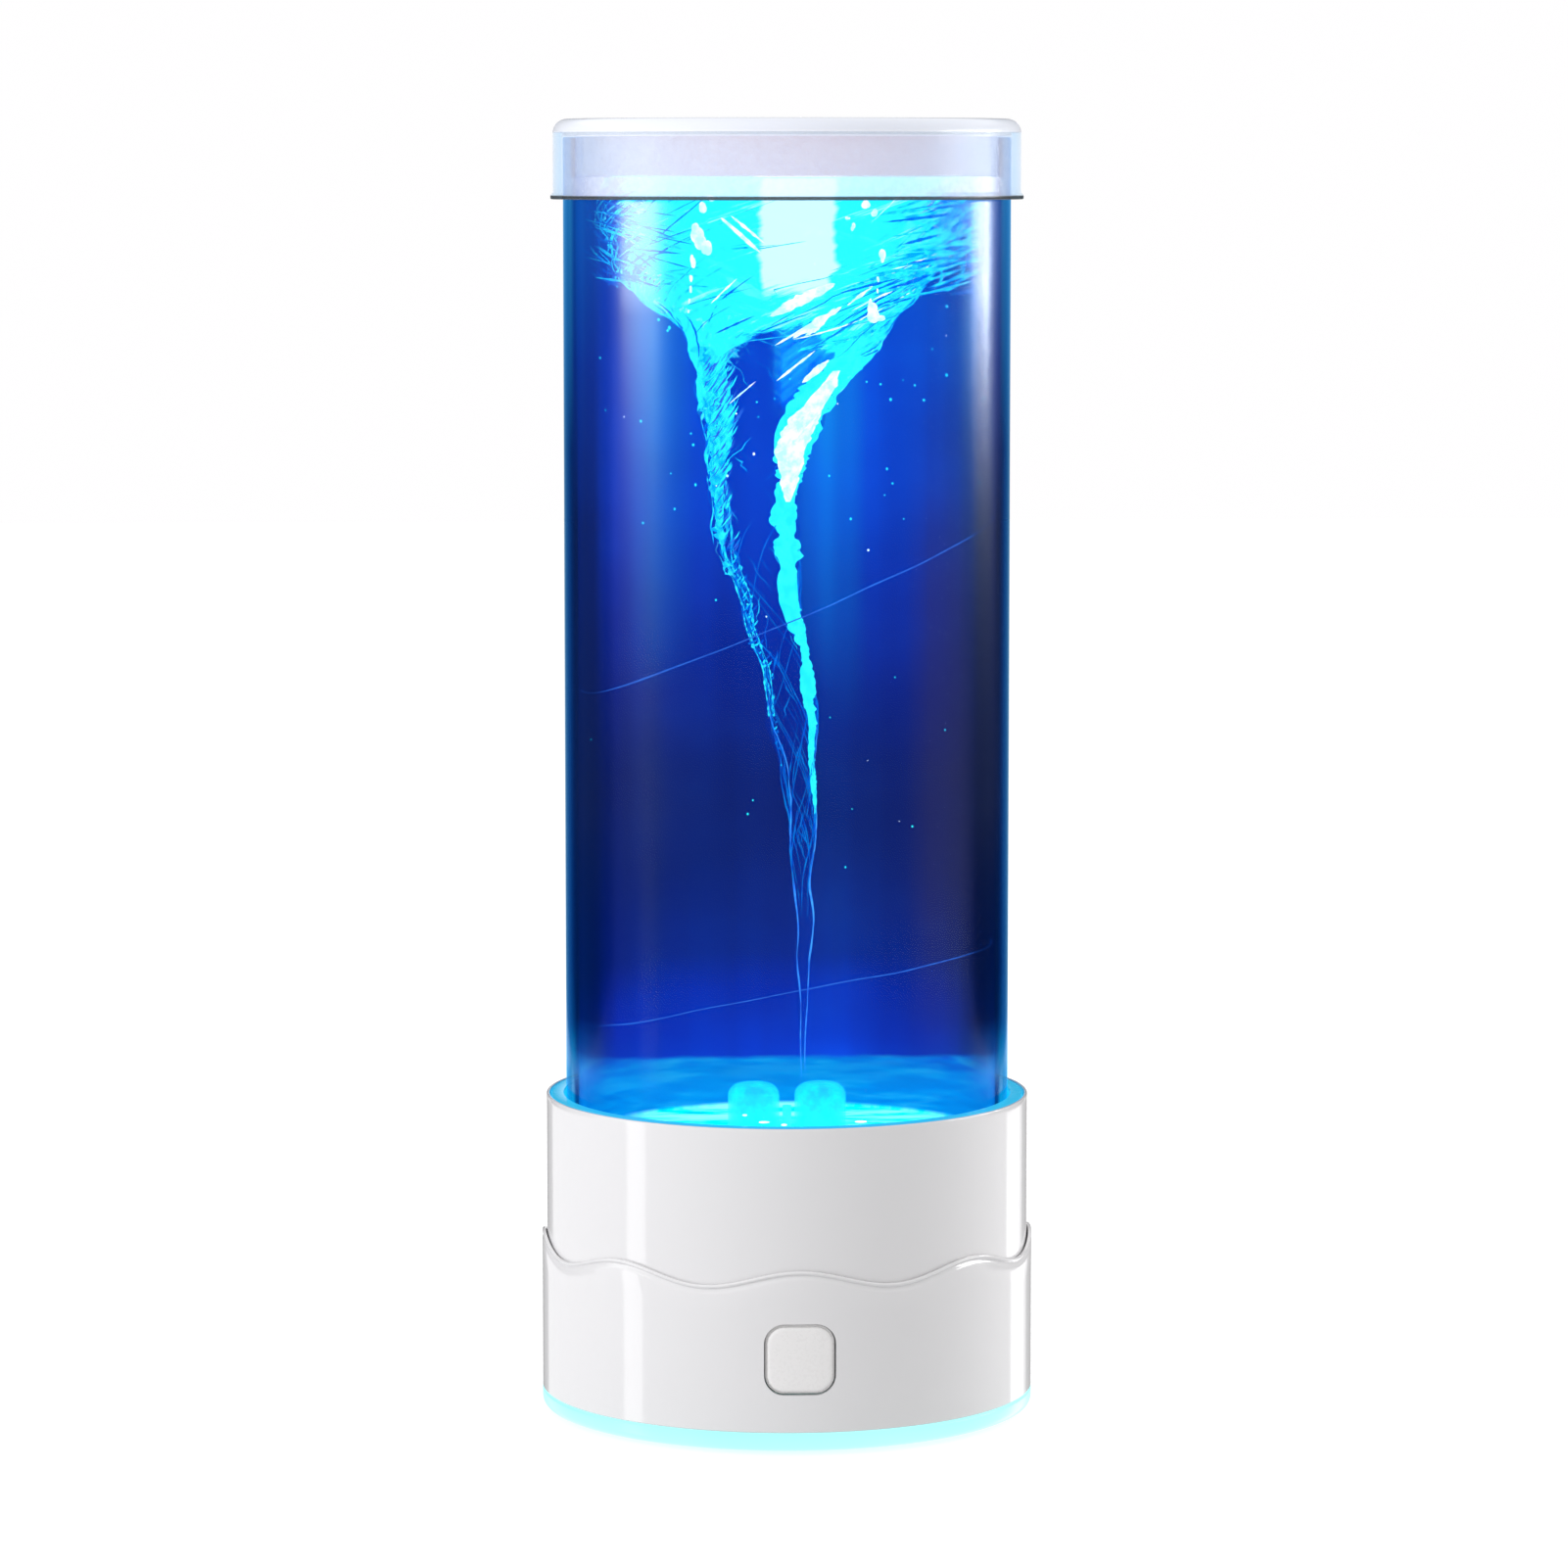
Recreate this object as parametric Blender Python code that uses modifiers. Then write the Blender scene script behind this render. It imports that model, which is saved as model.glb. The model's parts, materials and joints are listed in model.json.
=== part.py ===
"""Tornado lamp: a lit water tube with a magnet-driven vortex, on a two-part white base.

Units are metres, +Z is up, the button faces -Y, and the origin is the centre of the
footprint, on the surface that the lamp stands on.
"""
import math

import bmesh
import bpy
from mathutils import Matrix, Vector

# Clearances and mesh fineness
GAP = 0.0003                # between pieces that touch or slide
OVERRUN = 0.002             # how far a cutter runs past the face that it opens
ROUND_STEPS = 48            # facets of a large turned piece
WAVE_STEPS = 80             # facets of the two shells, which carry the wavy seam
MIDDLE_STEPS = 32           # facets of the motor, its cup and the impeller
BORE_STEPS = 24             # facets of a foot and of the power socket's barrel
SMALL_STEPS = 12            # facets of a screw, a boss or a magnet
MERGE = 0.000005            # vertices closer than this are one

# Tube and water
TUBE_R = 0.045
TUBE_WALL = 0.0025
TUBE_LENGTH = 0.2112
WATER_TOP_DROP = 0.0003     # water level below the plug
FUNNEL_SIDES_RES = 6        # bevel resolution of the funnel, 16 sides
FUNNEL_TAIL_CLEAR = 0.0022  # tip of the funnel above the impeller's space

# The funnel from its tip to the water level: height, radius and sideways drift
FUNNEL_HEIGHT_SHARES = (0.0, 0.12, 0.28, 0.42, 0.53, 0.60, 0.69, 0.76, 0.83, 0.90, 1.0)
FUNNEL_RADIUS_SHARES = (0.010, 0.024, 0.060, 0.100, 0.140, 0.180, 0.240, 0.320, 0.470, 0.700, 0.880)
FUNNEL_DRIFT_SHARES = (0.076, 0.080, 0.066, 0.0, -0.095, -0.155, -0.145, -0.090, -0.050, -0.040, 0.0)
FUNNEL_STEPS_PER_SPAN = 3

# Cap, plug and seal
CAP_WALL = 0.0017
CAP_TOP_T = 0.0024
CAP_SKIRT = 0.0136          # from the cap's ceiling down to its rim
CAP_CORNER = 0.0028
CAP_RIM_OUT = 0.0005        # how far the rim stands proud
CAP_RIM_H = 0.0012
PLUG_H = 0.0088
SEAL_T = 0.0006

# Feet, bottom plate and glow ring
FOOT_PROUD = 0.0008
FOOT_R = 0.005
FOOT_EDGE = 0.0015          # foot to the bottom plate's edge
FOOT_COUNT = 4
FOOT_RECESS = 0.0012
PLATE_T = 0.0022
GLOW_H = 0.00355
GLOW_W = 0.0047
GLOW_CORNER = 0.0018
GLOW_SPIGOT_H = 0.003

# White shells
LOWER_H = 0.0307            # bottom edge to the middle of the wavy seam
UPPER_H = 0.02965           # seam to the collar's top
LOWER_WALL = 0.0024
LIP_T = 0.0007              # the lower shell's lip, over the upper shell
LIP_DEPTH = 0.0072
LIP_CHAMFER = 0.0005
WAVE_AMPLITUDE = 0.0016
WAVE_COUNT = 8
RIM_T = 0.0006              # the upper shell's thin top edge, round the light ring
RIM_ROUND = 0.0004
RING_W = 0.0028
RING_H = 0.0047
RING_ROUND = 0.0005

# Chassis and tank floor
CHASSIS_WALL = 0.0012
SHELF_T = 0.0024
WELL_WALL = 0.002
DECK_T = 0.0024
DECK_DROP = 0.0045          # deck below the shelf
POST_R = 0.0035
POST_CLEAR = 0.0015         # post to the glow board
POST_COUNT = 4
POST_TURN = 45.0            # degrees from +X to the first post
TANK_RECESS = 0.0101        # tank floor below the collar's top
FLOOR_T = 0.004
FLOOR_SEAL_R = 0.00075
FLOOR_SEAL_STEPS = 6

# Light board under the tank
BOARD_T = 0.0016
LED_T = 0.0013
LED_SIDE = 0.005
LED_CLEAR = 0.0005
LED_COUNT = 6
LED_TURN = 30.0             # degrees from +X to the first one
LED_BOARD_MARGIN = 0.001    # board's hole beyond the well

# Drive: motor, shaft, carrier and magnets
SHAFT_R = 0.001
SHAFT_IN_MOTOR = 0.0085
SHAFT_IN_CARRIER = 0.0045
MOTOR_R = 0.0122
MOTOR_H = 0.0124
MOTOR_EDGE = 0.0008
CUP_WALL = 0.0016
CUP_FLOOR = 0.0018
CUP_FLANGE_W = 0.0064
CUP_FLANGE_T = 0.002
CUP_VENT_R = 0.0045
CARRIER_R = 0.018
CARRIER_CLEAR = 0.001       # carrier above the deck
CARRIER_TOP_CLEAR = 0.0009  # carrier below the tank floor
WELL_CLEAR = 0.003          # carrier to the well's wall
MAGNET_R = 0.004
MAGNET_H = 0.003
MAGNET_EDGE = 0.0025        # magnet to the carrier's edge

# Impeller in the tank
HUB_EDGE = 0.0009           # hub beyond the lugs
HUB_T = 0.0022
HUB_LIFT = 0.0005
LUG_R = 0.0053
LUG_H = 0.009
LUG_PIN_CLEAR = 0.0003      # lug to the pin's bore
LUG_ROUND = 0.0026
LUG_STEPS = 16
LUG_MAGNET_R = 0.0034
LUG_MAGNET_H = 0.007
PIN_R = 0.0009
PIN_SEAT = 0.002
PIN_H = 0.0065              # above the hub's underside
SPIN_CLEAR = 0.0006         # water's hollow round the turning impeller

# Button and its switch
BUTTON_SIDE = 0.013
BUTTON_CORNER = 0.0034
BUTTON_SLIT = 0.0006
BUTTON_HEIGHT_SHARE = 0.477  # of the lower shell's height, for the button's middle
BUTTON_INSET = 0.0001
BUTTON_SEGMENTS = 5
BUTTON_FLANGE = 0.0015      # how far the hidden flange reaches past the opening
BUTTON_FLANGE_T = 0.0012
BUTTON_TRAVEL = 0.0006
STEM_R = 0.002
STEM_LENGTH = 0.0037
PLUNGER_R = 0.0012
PLUNGER_OUT = 0.0012
PLUNGER_IN = 0.0012
SWITCH_SIDE = 0.006
SWITCH_T = 0.0034
SWITCH_BOARD_H = 0.013
SWITCH_BOARD_EDGE = 0.003   # board beyond its screws
SWITCH_BOSS_R = 0.0024
SWITCH_BOSS_CLEAR = 0.0005  # boss to the button's flange

# Control board and power socket
CONTROL_POST_CLEAR = 0.0034  # board to the chassis posts
CONTROL_FRONT = 0.004       # how far the board reaches in front of the axis
CONTROL_SHORT = 0.007       # rear edge in front of the socket's rear face
CONTROL_Z = 0.005           # board above the bottom plate
CONTROL_BOSS_R = 0.0028
CONTROL_HOLE_EDGE = 0.0045  # screw to the board's side
CONTROL_BOSS_Y = 0.012
SOCKET_W = 0.009
SOCKET_H = 0.011
SOCKET_D = 0.0135
SOCKET_RISE = 0.0055        # barrel's axis above the board
SOCKET_BARREL_R = 0.0039
SOCKET_BORE_R = 0.0029
SOCKET_PIN_R = 0.0011
SOCKET_BORE_D = 0.009
SOCKET_PIN_SHY = 0.001      # pin's tip behind the mouth
SOCKET_INSET = 0.0006       # barrel's mouth behind the shell's face
SOCKET_CLEAR = 0.0011       # socket body to the shell's inner wall

# Glow board
GLOW_BOARD_W = 0.0062
GLOW_BOARD_T = 0.0012
GLOW_LED_SIDE = 0.003
GLOW_LED_T = 0.0014
GLOW_LED_COUNT = 4
GLOW_LED_TURN = 45.0

# Screws
SCREW_R = 0.0013
SCREW_HEAD_R = 0.0026
SCREW_HEAD_T = 0.0008
BASE_SCREW_LENGTH = 0.012
MOTOR_SCREW_LENGTH = 0.0038
BOARD_SCREW_LENGTH = 0.0042
SWITCH_SCREW_LENGTH = 0.0058
SCREW_HOLE_EXTRA = 0.001    # hole deeper than the screw

# Wires
WIRE_R = 0.0009
WIRE_HOLE_R = 0.0018
WIRE_RES = 2
WIRE_STEPS = 4
WIRE_STUB = 0.003           # straight end of a lead
LEAD_SWAY = 0.003           # slack of a lead to one side
SWITCH_LEAD_Y = 0.001       # where the switch lead lands on the control board
LED_LEAD_INSET = 0.003      # from the control board's side
MOTOR_LEAD_X = 0.008
MOTOR_LEAD_Y = 0.004
SWITCH_LEAD_X = 0.006
SWITCH_LEAD_DROP = 0.004
GLOW_LEAD_INSET = 0.005     # from the control board's other side

# Heights, from the surface upwards
plate_z0 = FOOT_PROUD
plate_z1 = plate_z0 + PLATE_T
glow_top = plate_z0 + GLOW_H
lower_z0 = glow_top + GAP
seam_z = lower_z0 + LOWER_H
collar_z = seam_z + UPPER_H
rabbet_z = seam_z - LIP_DEPTH
upper_z0 = rabbet_z + GAP
ledge_z = collar_z - RING_H - GAP
floor_z1 = collar_z - TANK_RECESS
floor_z0 = floor_z1 - FLOOR_T
led_z1 = floor_z0 - LED_CLEAR
led_z0 = led_z1 - LED_T
led_board_z1 = led_z0 - GAP
led_board_z0 = led_board_z1 - BOARD_T
shelf_z1 = led_board_z0 - GAP
shelf_z0 = shelf_z1 - SHELF_T
deck_z1 = shelf_z1 - DECK_DROP
deck_z0 = deck_z1 - DECK_T
tube_z0 = shelf_z1 + GAP
tube_z1 = tube_z0 + TUBE_LENGTH
seal_z0 = tube_z1 + GAP
seal_z1 = seal_z0 + SEAL_T
ceiling_z = seal_z1 + GAP
cap_z0 = ceiling_z - CAP_SKIRT
cap_z1 = ceiling_z + CAP_TOP_T
plug_z1 = ceiling_z - GAP
plug_z0 = plug_z1 - PLUG_H
water_z1 = plug_z0 - WATER_TOP_DROP
water_z0 = floor_z1 + GAP
carrier_z0 = deck_z1 + CARRIER_CLEAR
carrier_z1 = floor_z0 - CARRIER_TOP_CLEAR
motor_z1 = deck_z0 - GAP
motor_z0 = motor_z1 - MOTOR_H
cup_z1 = deck_z0 - GAP
cup_z0 = motor_z0 - GAP - CUP_FLOOR
hub_z0 = floor_z1 + HUB_LIFT
hub_z1 = hub_z0 + HUB_T
lug_z1 = hub_z1 + LUG_H
board_z0 = plate_z1 + CONTROL_Z
board_z1 = board_z0 + BOARD_T
button_z = lower_z0 + LOWER_H * BUTTON_HEIGHT_SHARE
socket_z = board_z1 + GAP + SOCKET_RISE

# Radii, from the tube outwards and inwards
tube_in = TUBE_R - TUBE_WALL
water_r = tube_in - GAP
ring_in = TUBE_R + GAP
ring_out = ring_in + RING_W
upper_r = ring_out + GAP + RIM_T
chassis_r = ring_in + CHASSIS_WALL
upper_in = chassis_r + GAP
lip_in = upper_r + GAP
lower_r = lip_in + LIP_T
lower_in = lower_r - LOWER_WALL
glow_in = lower_r - GLOW_W
plate_r = glow_in - GAP
spigot_r = lower_in - GAP
cap_in = TUBE_R + GAP
cap_r = cap_in + CAP_WALL
well_r = CARRIER_R + WELL_CLEAR
led_board_r0 = well_r + LED_BOARD_MARGIN
led_circle = (led_board_r0 + water_r) / 2
foot_circle = plate_r - FOOT_EDGE - FOOT_R
glow_board_r1 = glow_in - GAP
glow_board_r0 = glow_board_r1 - GLOW_BOARD_W
post_circle = glow_board_r0 - POST_CLEAR - POST_R
cup_out = MOTOR_R + GAP + CUP_WALL
cup_flange_r = cup_out + CUP_FLANGE_W
motor_screw_circle = cup_out + CUP_FLANGE_W / 2
magnet_circle = CARRIER_R - MAGNET_EDGE - MAGNET_R
shaft_hole_r = SHAFT_R + 2 * GAP
lug_circle = PIN_R + GAP + LUG_PIN_CLEAR + LUG_R
hub_r = lug_circle + LUG_R + HUB_EDGE

# The control board between the posts, its socket and the leads that land on it
control_half = post_circle * math.cos(math.radians(POST_TURN)) - POST_R - CONTROL_POST_CLEAR
control_boss_x = control_half - CONTROL_HOLE_EDGE
socket_y1 = lower_in - SOCKET_CLEAR
control_y1 = socket_y1 - CONTROL_SHORT
led_lead_x = control_half - LED_LEAD_INSET
led_lead_y = math.sqrt(led_circle ** 2 - led_lead_x ** 2)
glow_lead_x = control_half - GLOW_LEAD_INSET

# The button, its plunger and the switch behind it, along Y
flange_half = BUTTON_SIDE / 2 + BUTTON_SLIT + BUTTON_FLANGE
button_flange_y0 = -(math.sqrt(upper_in ** 2 - flange_half ** 2) - GAP)
button_flange_y1 = button_flange_y0 + BUTTON_FLANGE_T
plunger_y0 = button_flange_y1 + STEM_LENGTH + GAP
switch_y0 = plunger_y0 + PLUNGER_OUT
plunger_y1 = switch_y0 + PLUNGER_IN
switch_y1 = switch_y0 + SWITCH_T
switch_board_y0 = switch_y1 + GAP
switch_board_y1 = switch_board_y0 + BOARD_T
switch_boss_x = flange_half + SWITCH_BOSS_CLEAR + SWITCH_BOSS_R
switch_half = switch_boss_x + SWITCH_BOARD_EDGE

MATERIALS = {
    "white_plastic": ((0.80, 0.80, 0.82), 0.18, 0.0),
    "button_plastic": ((0.74, 0.74, 0.73), 0.30, 0.0),
    "frosted_clear": ((0.78, 0.84, 0.93), 0.25, 0.0),
    "clear_acrylic": ((0.45, 0.70, 0.88), 0.05, 0.0),
    "blue_water": ((0.02, 0.09, 0.62), 0.05, 0.0),
    "lit_cyan": ((0.25, 0.90, 0.95), 0.35, 0.0),
    "plug_white": ((0.70, 0.69, 0.79), 0.35, 0.0),
    "seal_rubber": ((0.75, 0.75, 0.75), 0.60, 0.0),
    "foot_rubber": ((0.06, 0.06, 0.06), 0.80, 0.0),
    "chassis_plastic": ((0.60, 0.61, 0.63), 0.45, 0.0),
    "circuit_board": ((0.03, 0.25, 0.10), 0.45, 0.0),
    "led_package": ((0.90, 0.88, 0.70), 0.35, 0.0),
    "motor_steel": ((0.60, 0.61, 0.62), 0.30, 1.0),
    "magnet_nickel": ((0.72, 0.71, 0.68), 0.20, 1.0),
    "screw_steel": ((0.55, 0.55, 0.57), 0.30, 1.0),
    "switch_black": ((0.03, 0.03, 0.03), 0.45, 0.0),
    "wire_red": ((0.55, 0.03, 0.03), 0.50, 0.0),
}


def clear_scene():
    """Start from an empty scene."""
    for old in list(bpy.data.objects):
        bpy.data.objects.remove(old, do_unlink=True)
    for old in list(bpy.data.collections):
        bpy.data.collections.remove(old)


def new_collection(name):
    made = bpy.data.collections.new(name)
    bpy.context.scene.collection.children.link(made)
    return made


clear_scene()
PARTS = new_collection("tornado_lamp")
CUTTERS = new_collection("tornado_lamp_cutters")


def surface(name):
    """The named material, made once."""
    known = bpy.data.materials.get(name)
    if known:
        return known
    color, roughness, metallic = MATERIALS[name]
    made = bpy.data.materials.new(name)
    made.use_nodes = True
    shader = made.node_tree.nodes["Principled BSDF"]
    shader.inputs["Base Color"].default_value = (*color, 1.0)
    shader.inputs["Roughness"].default_value = roughness
    shader.inputs["Metallic"].default_value = metallic
    made.diffuse_color = (*color, 1.0)
    return made


def place(name, data, material=None):
    """Put mesh or curve data in the scene: a part if it has a material, else a cutter."""
    piece = bpy.data.objects.new(name, data)
    if material:
        PARTS.objects.link(piece)
        data.materials.append(surface(material))
    else:
        CUTTERS.objects.link(piece)
        piece.hide_render = True
        piece.display_type = "WIRE"
    return piece


def freeze(piece):
    """Replace a piece's mesh by the one its modifiers give, and drop the modifiers."""
    graph = bpy.context.evaluated_depsgraph_get()
    mesh = bpy.data.meshes.new_from_object(piece.evaluated_get(graph))
    piece.modifiers.clear()
    piece.data = mesh


def smooth(piece, degrees=35.0):
    piece.data.shade_smooth()
    piece.data.set_sharp_from_angle(angle=math.radians(degrees))


def turned(name, profile, material=None, steps=ROUND_STEPS, closed=True):
    """Turn a profile of (radius, height) points, listed down the outer side, about Z.

    A closed profile makes a ring. An open one starts and ends on the axis.
    """
    mesh = bpy.data.meshes.new(name)
    points = [(radius, 0.0, height) for radius, height in profile]
    edges = [(i, i + 1) for i in range(len(points) - 1)]
    if closed:
        edges.append((len(points) - 1, 0))
    mesh.from_pydata(points, edges, [])
    piece = place(name, mesh, material)
    screw = piece.modifiers.new("turn", "SCREW")
    screw.steps = steps
    screw.render_steps = steps
    screw.use_merge_vertices = True
    screw.merge_threshold = MERGE
    freeze(piece)
    smooth(piece)
    return piece


def ring(name, r_in, r_out, z0, z1, material=None, steps=ROUND_STEPS):
    profile = [(r_out, z1), (r_out, z0), (r_in, z0), (r_in, z1)]
    return turned(name, profile, material, steps)


def disc(name, radius, z0, z1, material=None, steps=ROUND_STEPS):
    profile = [(0.0, z1), (radius, z1), (radius, z0), (0.0, z0)]
    return turned(name, profile, material, steps, closed=False)


def arc(radius, height, size, start, end, steps=4):
    """Points of a round corner about (radius, height), from start to end degrees."""
    points = []
    for i in range(steps + 1):
        angle = math.radians(start + (end - start) * i / steps)
        points.append((radius + size * math.cos(angle), height + size * math.sin(angle)))
    return points


def box(name, low, high, material=None):
    """A box between two corners."""
    low = Vector(low)
    high = Vector(high)
    work = bmesh.new()
    bmesh.ops.create_cube(work, size=1.0)
    bmesh.ops.scale(work, vec=high - low, verts=work.verts)
    bmesh.ops.translate(work, vec=(low + high) / 2, verts=work.verts)
    mesh = bpy.data.meshes.new(name)
    work.to_mesh(mesh)
    work.free()
    return place(name, mesh, material)


def rounded_block(name, side, corner, y0, y1, middle_z, material=None):
    """A square block along Y with four rounded edges."""
    work = bmesh.new()
    bmesh.ops.create_cube(work, size=1.0)
    bmesh.ops.scale(work, vec=(side, y1 - y0, side), verts=work.verts)
    along_y = [e for e in work.edges if abs(e.verts[0].co.y - e.verts[1].co.y) > (y1 - y0) / 2]
    bmesh.ops.bevel(work, geom=along_y, offset=corner, segments=BUTTON_SEGMENTS, profile=0.5,
                    affect="EDGES")
    bmesh.ops.translate(work, vec=(0.0, (y0 + y1) / 2, middle_z), verts=work.verts)
    mesh = bpy.data.meshes.new(name)
    work.to_mesh(mesh)
    work.free()
    return place(name, mesh, material)


def cylinder(name, start, end, radius, material=None, steps=SMALL_STEPS):
    """A capped cylinder between two points."""
    start = Vector(start)
    end = Vector(end)
    work = bmesh.new()
    turn = (end - start).to_track_quat("Z", "Y").to_matrix().to_4x4()
    bmesh.ops.create_cone(work, cap_ends=True, segments=steps, radius1=radius, radius2=radius,
                          depth=(end - start).length,
                          matrix=Matrix.Translation((start + end) / 2) @ turn)
    mesh = bpy.data.meshes.new(name)
    work.to_mesh(mesh)
    work.free()
    piece = place(name, mesh, material)
    smooth(piece)
    return piece


def combine(piece, other, operation):
    """Add a Boolean with another solid, which moves to the cutters."""
    for home in list(other.users_collection):
        home.objects.unlink(other)
    CUTTERS.objects.link(other)
    other.hide_render = True
    other.display_type = "WIRE"
    boolean = piece.modifiers.new(operation.lower(), "BOOLEAN")
    boolean.operation = operation
    boolean.object = other
    boolean.solver = "EXACT"


def cut(piece, cutter):
    combine(piece, cutter, "DIFFERENCE")


def join(piece, other):
    combine(piece, other, "UNION")


def around(count, start_degrees=0.0):
    """Angles of evenly spaced places, measured from +X."""
    return [math.radians(start_degrees) + 2 * math.pi * i / count for i in range(count)]


def polar(radius, angle, height):
    return Vector((radius * math.cos(angle), radius * math.sin(angle), height))


def seam_height(angle):
    """The seam's height above its middle; a crest stands over the button, at -Y."""
    return WAVE_AMPLITUDE * math.cos(WAVE_COUNT * (angle + math.pi / 2))


def bend_edge(piece, above_z):
    """Lift and drop the vertices above a height, so that the edge follows the seam."""
    for vertex in piece.data.vertices:
        if vertex.co.z > above_z:
            vertex.co.z += seam_height(math.atan2(vertex.co.y, vertex.co.x))


def smooth_values(values, steps):
    """A smooth run through the values, by Catmull-Rom spans."""
    run = []
    for i in range(len(values) - 1):
        before = values[max(i - 1, 0)]
        after = values[min(i + 2, len(values) - 1)]
        here = values[i]
        there = values[i + 1]
        for k in range(steps):
            t = k / steps
            run.append(0.5 * (2 * here + (there - before) * t
                              + (2 * before - 5 * here + 4 * there - after) * t ** 2
                              + (3 * here - before - 3 * there + after) * t ** 3))
    run.append(values[-1])
    return run


def tube_along(name, points, radii, depth, resolution, material=None):
    """A tube with filled caps along points, whose thickness follows radii."""
    curve = bpy.data.curves.new(name, "CURVE")
    curve.dimensions = "3D"
    curve.bevel_depth = depth
    curve.bevel_resolution = resolution
    curve.use_fill_caps = True
    spline = curve.splines.new("POLY")
    spline.points.add(len(points) - 1)
    for point, place_at, share in zip(spline.points, points, radii):
        point.co = (*place_at, 1.0)
        point.radius = share
    piece = place(name + "_curve", curve, material)
    graph = bpy.context.evaluated_depsgraph_get()
    mesh = bpy.data.meshes.new_from_object(piece.evaluated_get(graph))
    mesh.name = name
    work = bmesh.new()
    work.from_mesh(mesh)
    bmesh.ops.remove_doubles(work, verts=work.verts, dist=MERGE)
    if work.calc_volume(signed=True) < 0.0:
        bmesh.ops.reverse_faces(work, faces=work.faces)
    work.to_mesh(mesh)
    work.free()
    bpy.data.objects.remove(piece, do_unlink=True)
    mesh.materials.clear()
    solid = place(name, mesh, material)
    smooth(solid)
    return solid


def wire(name, route, material="wire_red"):
    """An inner lead along a smooth line through its route's points, with straight ends."""
    inner = route[1:-1]
    columns = [smooth_values([point[axis] for point in inner], WIRE_STEPS) for axis in range(3)]
    points = [route[0]] + list(zip(*columns)) + [route[-1]]
    return tube_along(name, points, [1.0] * len(points), WIRE_R, WIRE_RES, material)


def screw(name, head, direction, length):
    """A pan-head screw whose head's underside is at head and whose shank runs along direction."""
    head = Vector(head)
    direction = Vector(direction)
    piece = cylinder(name, head - direction * SCREW_HEAD_T, head, SCREW_HEAD_R, "screw_steel")
    overlap = head - direction * (SCREW_HEAD_T / 2)
    shank = cylinder(name + "_shank", overlap, head + direction * length, SCREW_R)
    join(piece, shank)
    return piece


def screw_hole(piece, head, direction, length):
    """Cut a screw's hole, a gap wider and a little deeper than the screw."""
    head = Vector(head)
    direction = Vector(direction)
    end = head + direction * (length + SCREW_HOLE_EXTRA)
    cut(piece, cylinder(piece.name + "_screw_hole", head - direction * OVERRUN, end, SCREW_R + GAP))


def make_bottom_plate():
    plate = disc("bottom_plate", plate_r, plate_z0, plate_z1, "white_plastic")
    for x in (-control_boss_x, control_boss_x):
        foot = (x, CONTROL_BOSS_Y, (plate_z0 + plate_z1) / 2)
        boss = cylinder("plate_boss", foot, (x, CONTROL_BOSS_Y, board_z0 - GAP), CONTROL_BOSS_R)
        join(plate, boss)
        screw_hole(plate, (x, CONTROL_BOSS_Y, board_z1 + GAP), (0, 0, -1), BOARD_SCREW_LENGTH)
    recess_z = plate_z0 + FOOT_RECESS
    for i, angle in enumerate(around(FOOT_COUNT)):
        middle = polar(foot_circle, angle, 0.0)
        hollow = cylinder("foot_recess", middle + Vector((0, 0, plate_z0 - OVERRUN)),
                          middle + Vector((0, 0, recess_z)), FOOT_R + GAP)
        cut(plate, hollow)
        cylinder(f"foot_{i + 1}", middle, middle + Vector((0, 0, recess_z - GAP)), FOOT_R,
                 "foot_rubber", BORE_STEPS)
    head_z = recess_z - GAP
    for i, angle in enumerate(around(POST_COUNT, POST_TURN)):
        middle = polar(post_circle, angle, 0.0)
        head = middle + Vector((0, 0, head_z))
        hollow = cylinder("head_recess", middle + Vector((0, 0, plate_z0 - OVERRUN)),
                          middle + Vector((0, 0, recess_z)), SCREW_HEAD_R + GAP)
        cut(plate, hollow)
        screw_hole(plate, head, (0, 0, 1), BASE_SCREW_LENGTH)
        screw(f"base_screw_{i + 1}", head, (0, 0, 1), BASE_SCREW_LENGTH)


def make_glow_ring():
    corner = arc(lower_r - GLOW_CORNER, plate_z0 + GLOW_CORNER, GLOW_CORNER, 0.0, -90.0, steps=3)
    profile = [(spigot_r, glow_top + GLOW_SPIGOT_H), (spigot_r, glow_top), (lower_r, glow_top)]
    profile += corner
    profile += [(glow_in, plate_z0), (glow_in, glow_top + GLOW_SPIGOT_H)]
    turned("glow_ring", profile, "lit_cyan")


def make_lower_shell():
    chamfer = LIP_T - LIP_CHAMFER
    profile = [
        (lip_in, seam_z), (lip_in + chamfer, seam_z), (lower_r, seam_z - LIP_CHAMFER),
        (lower_r, rabbet_z), (lower_r, lower_z0), (lower_in, lower_z0), (lower_in, rabbet_z),
        (lip_in, rabbet_z),
    ]
    shell = turned("lower_shell", profile, "white_plastic", WAVE_STEPS)
    bend_edge(shell, (seam_z - LIP_CHAMFER + rabbet_z) / 2)
    boss_y0 = -(math.sqrt(lower_in ** 2 - switch_boss_x ** 2) + LOWER_WALL / 2)
    for x in (-switch_boss_x, switch_boss_x):
        join(shell, cylinder("switch_boss", (x, boss_y0, button_z),
                             (x, switch_board_y0 - GAP, button_z), SWITCH_BOSS_R))
        screw_hole(shell, (x, switch_board_y1 + GAP, button_z), (0, -1, 0), SWITCH_SCREW_LENGTH)
    hole_side = BUTTON_SIDE + 2 * BUTTON_SLIT
    cut(shell, rounded_block("button_hole", hole_side, BUTTON_CORNER + BUTTON_SLIT,
                             -(lower_r + OVERRUN), button_flange_y0 - GAP, button_z))
    socket_hole = cylinder("socket_hole", (0.0, socket_y1, socket_z),
                           (0.0, lower_r + OVERRUN, socket_z), SOCKET_BARREL_R + GAP,
                           steps=BORE_STEPS)
    cut(shell, socket_hole)


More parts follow.
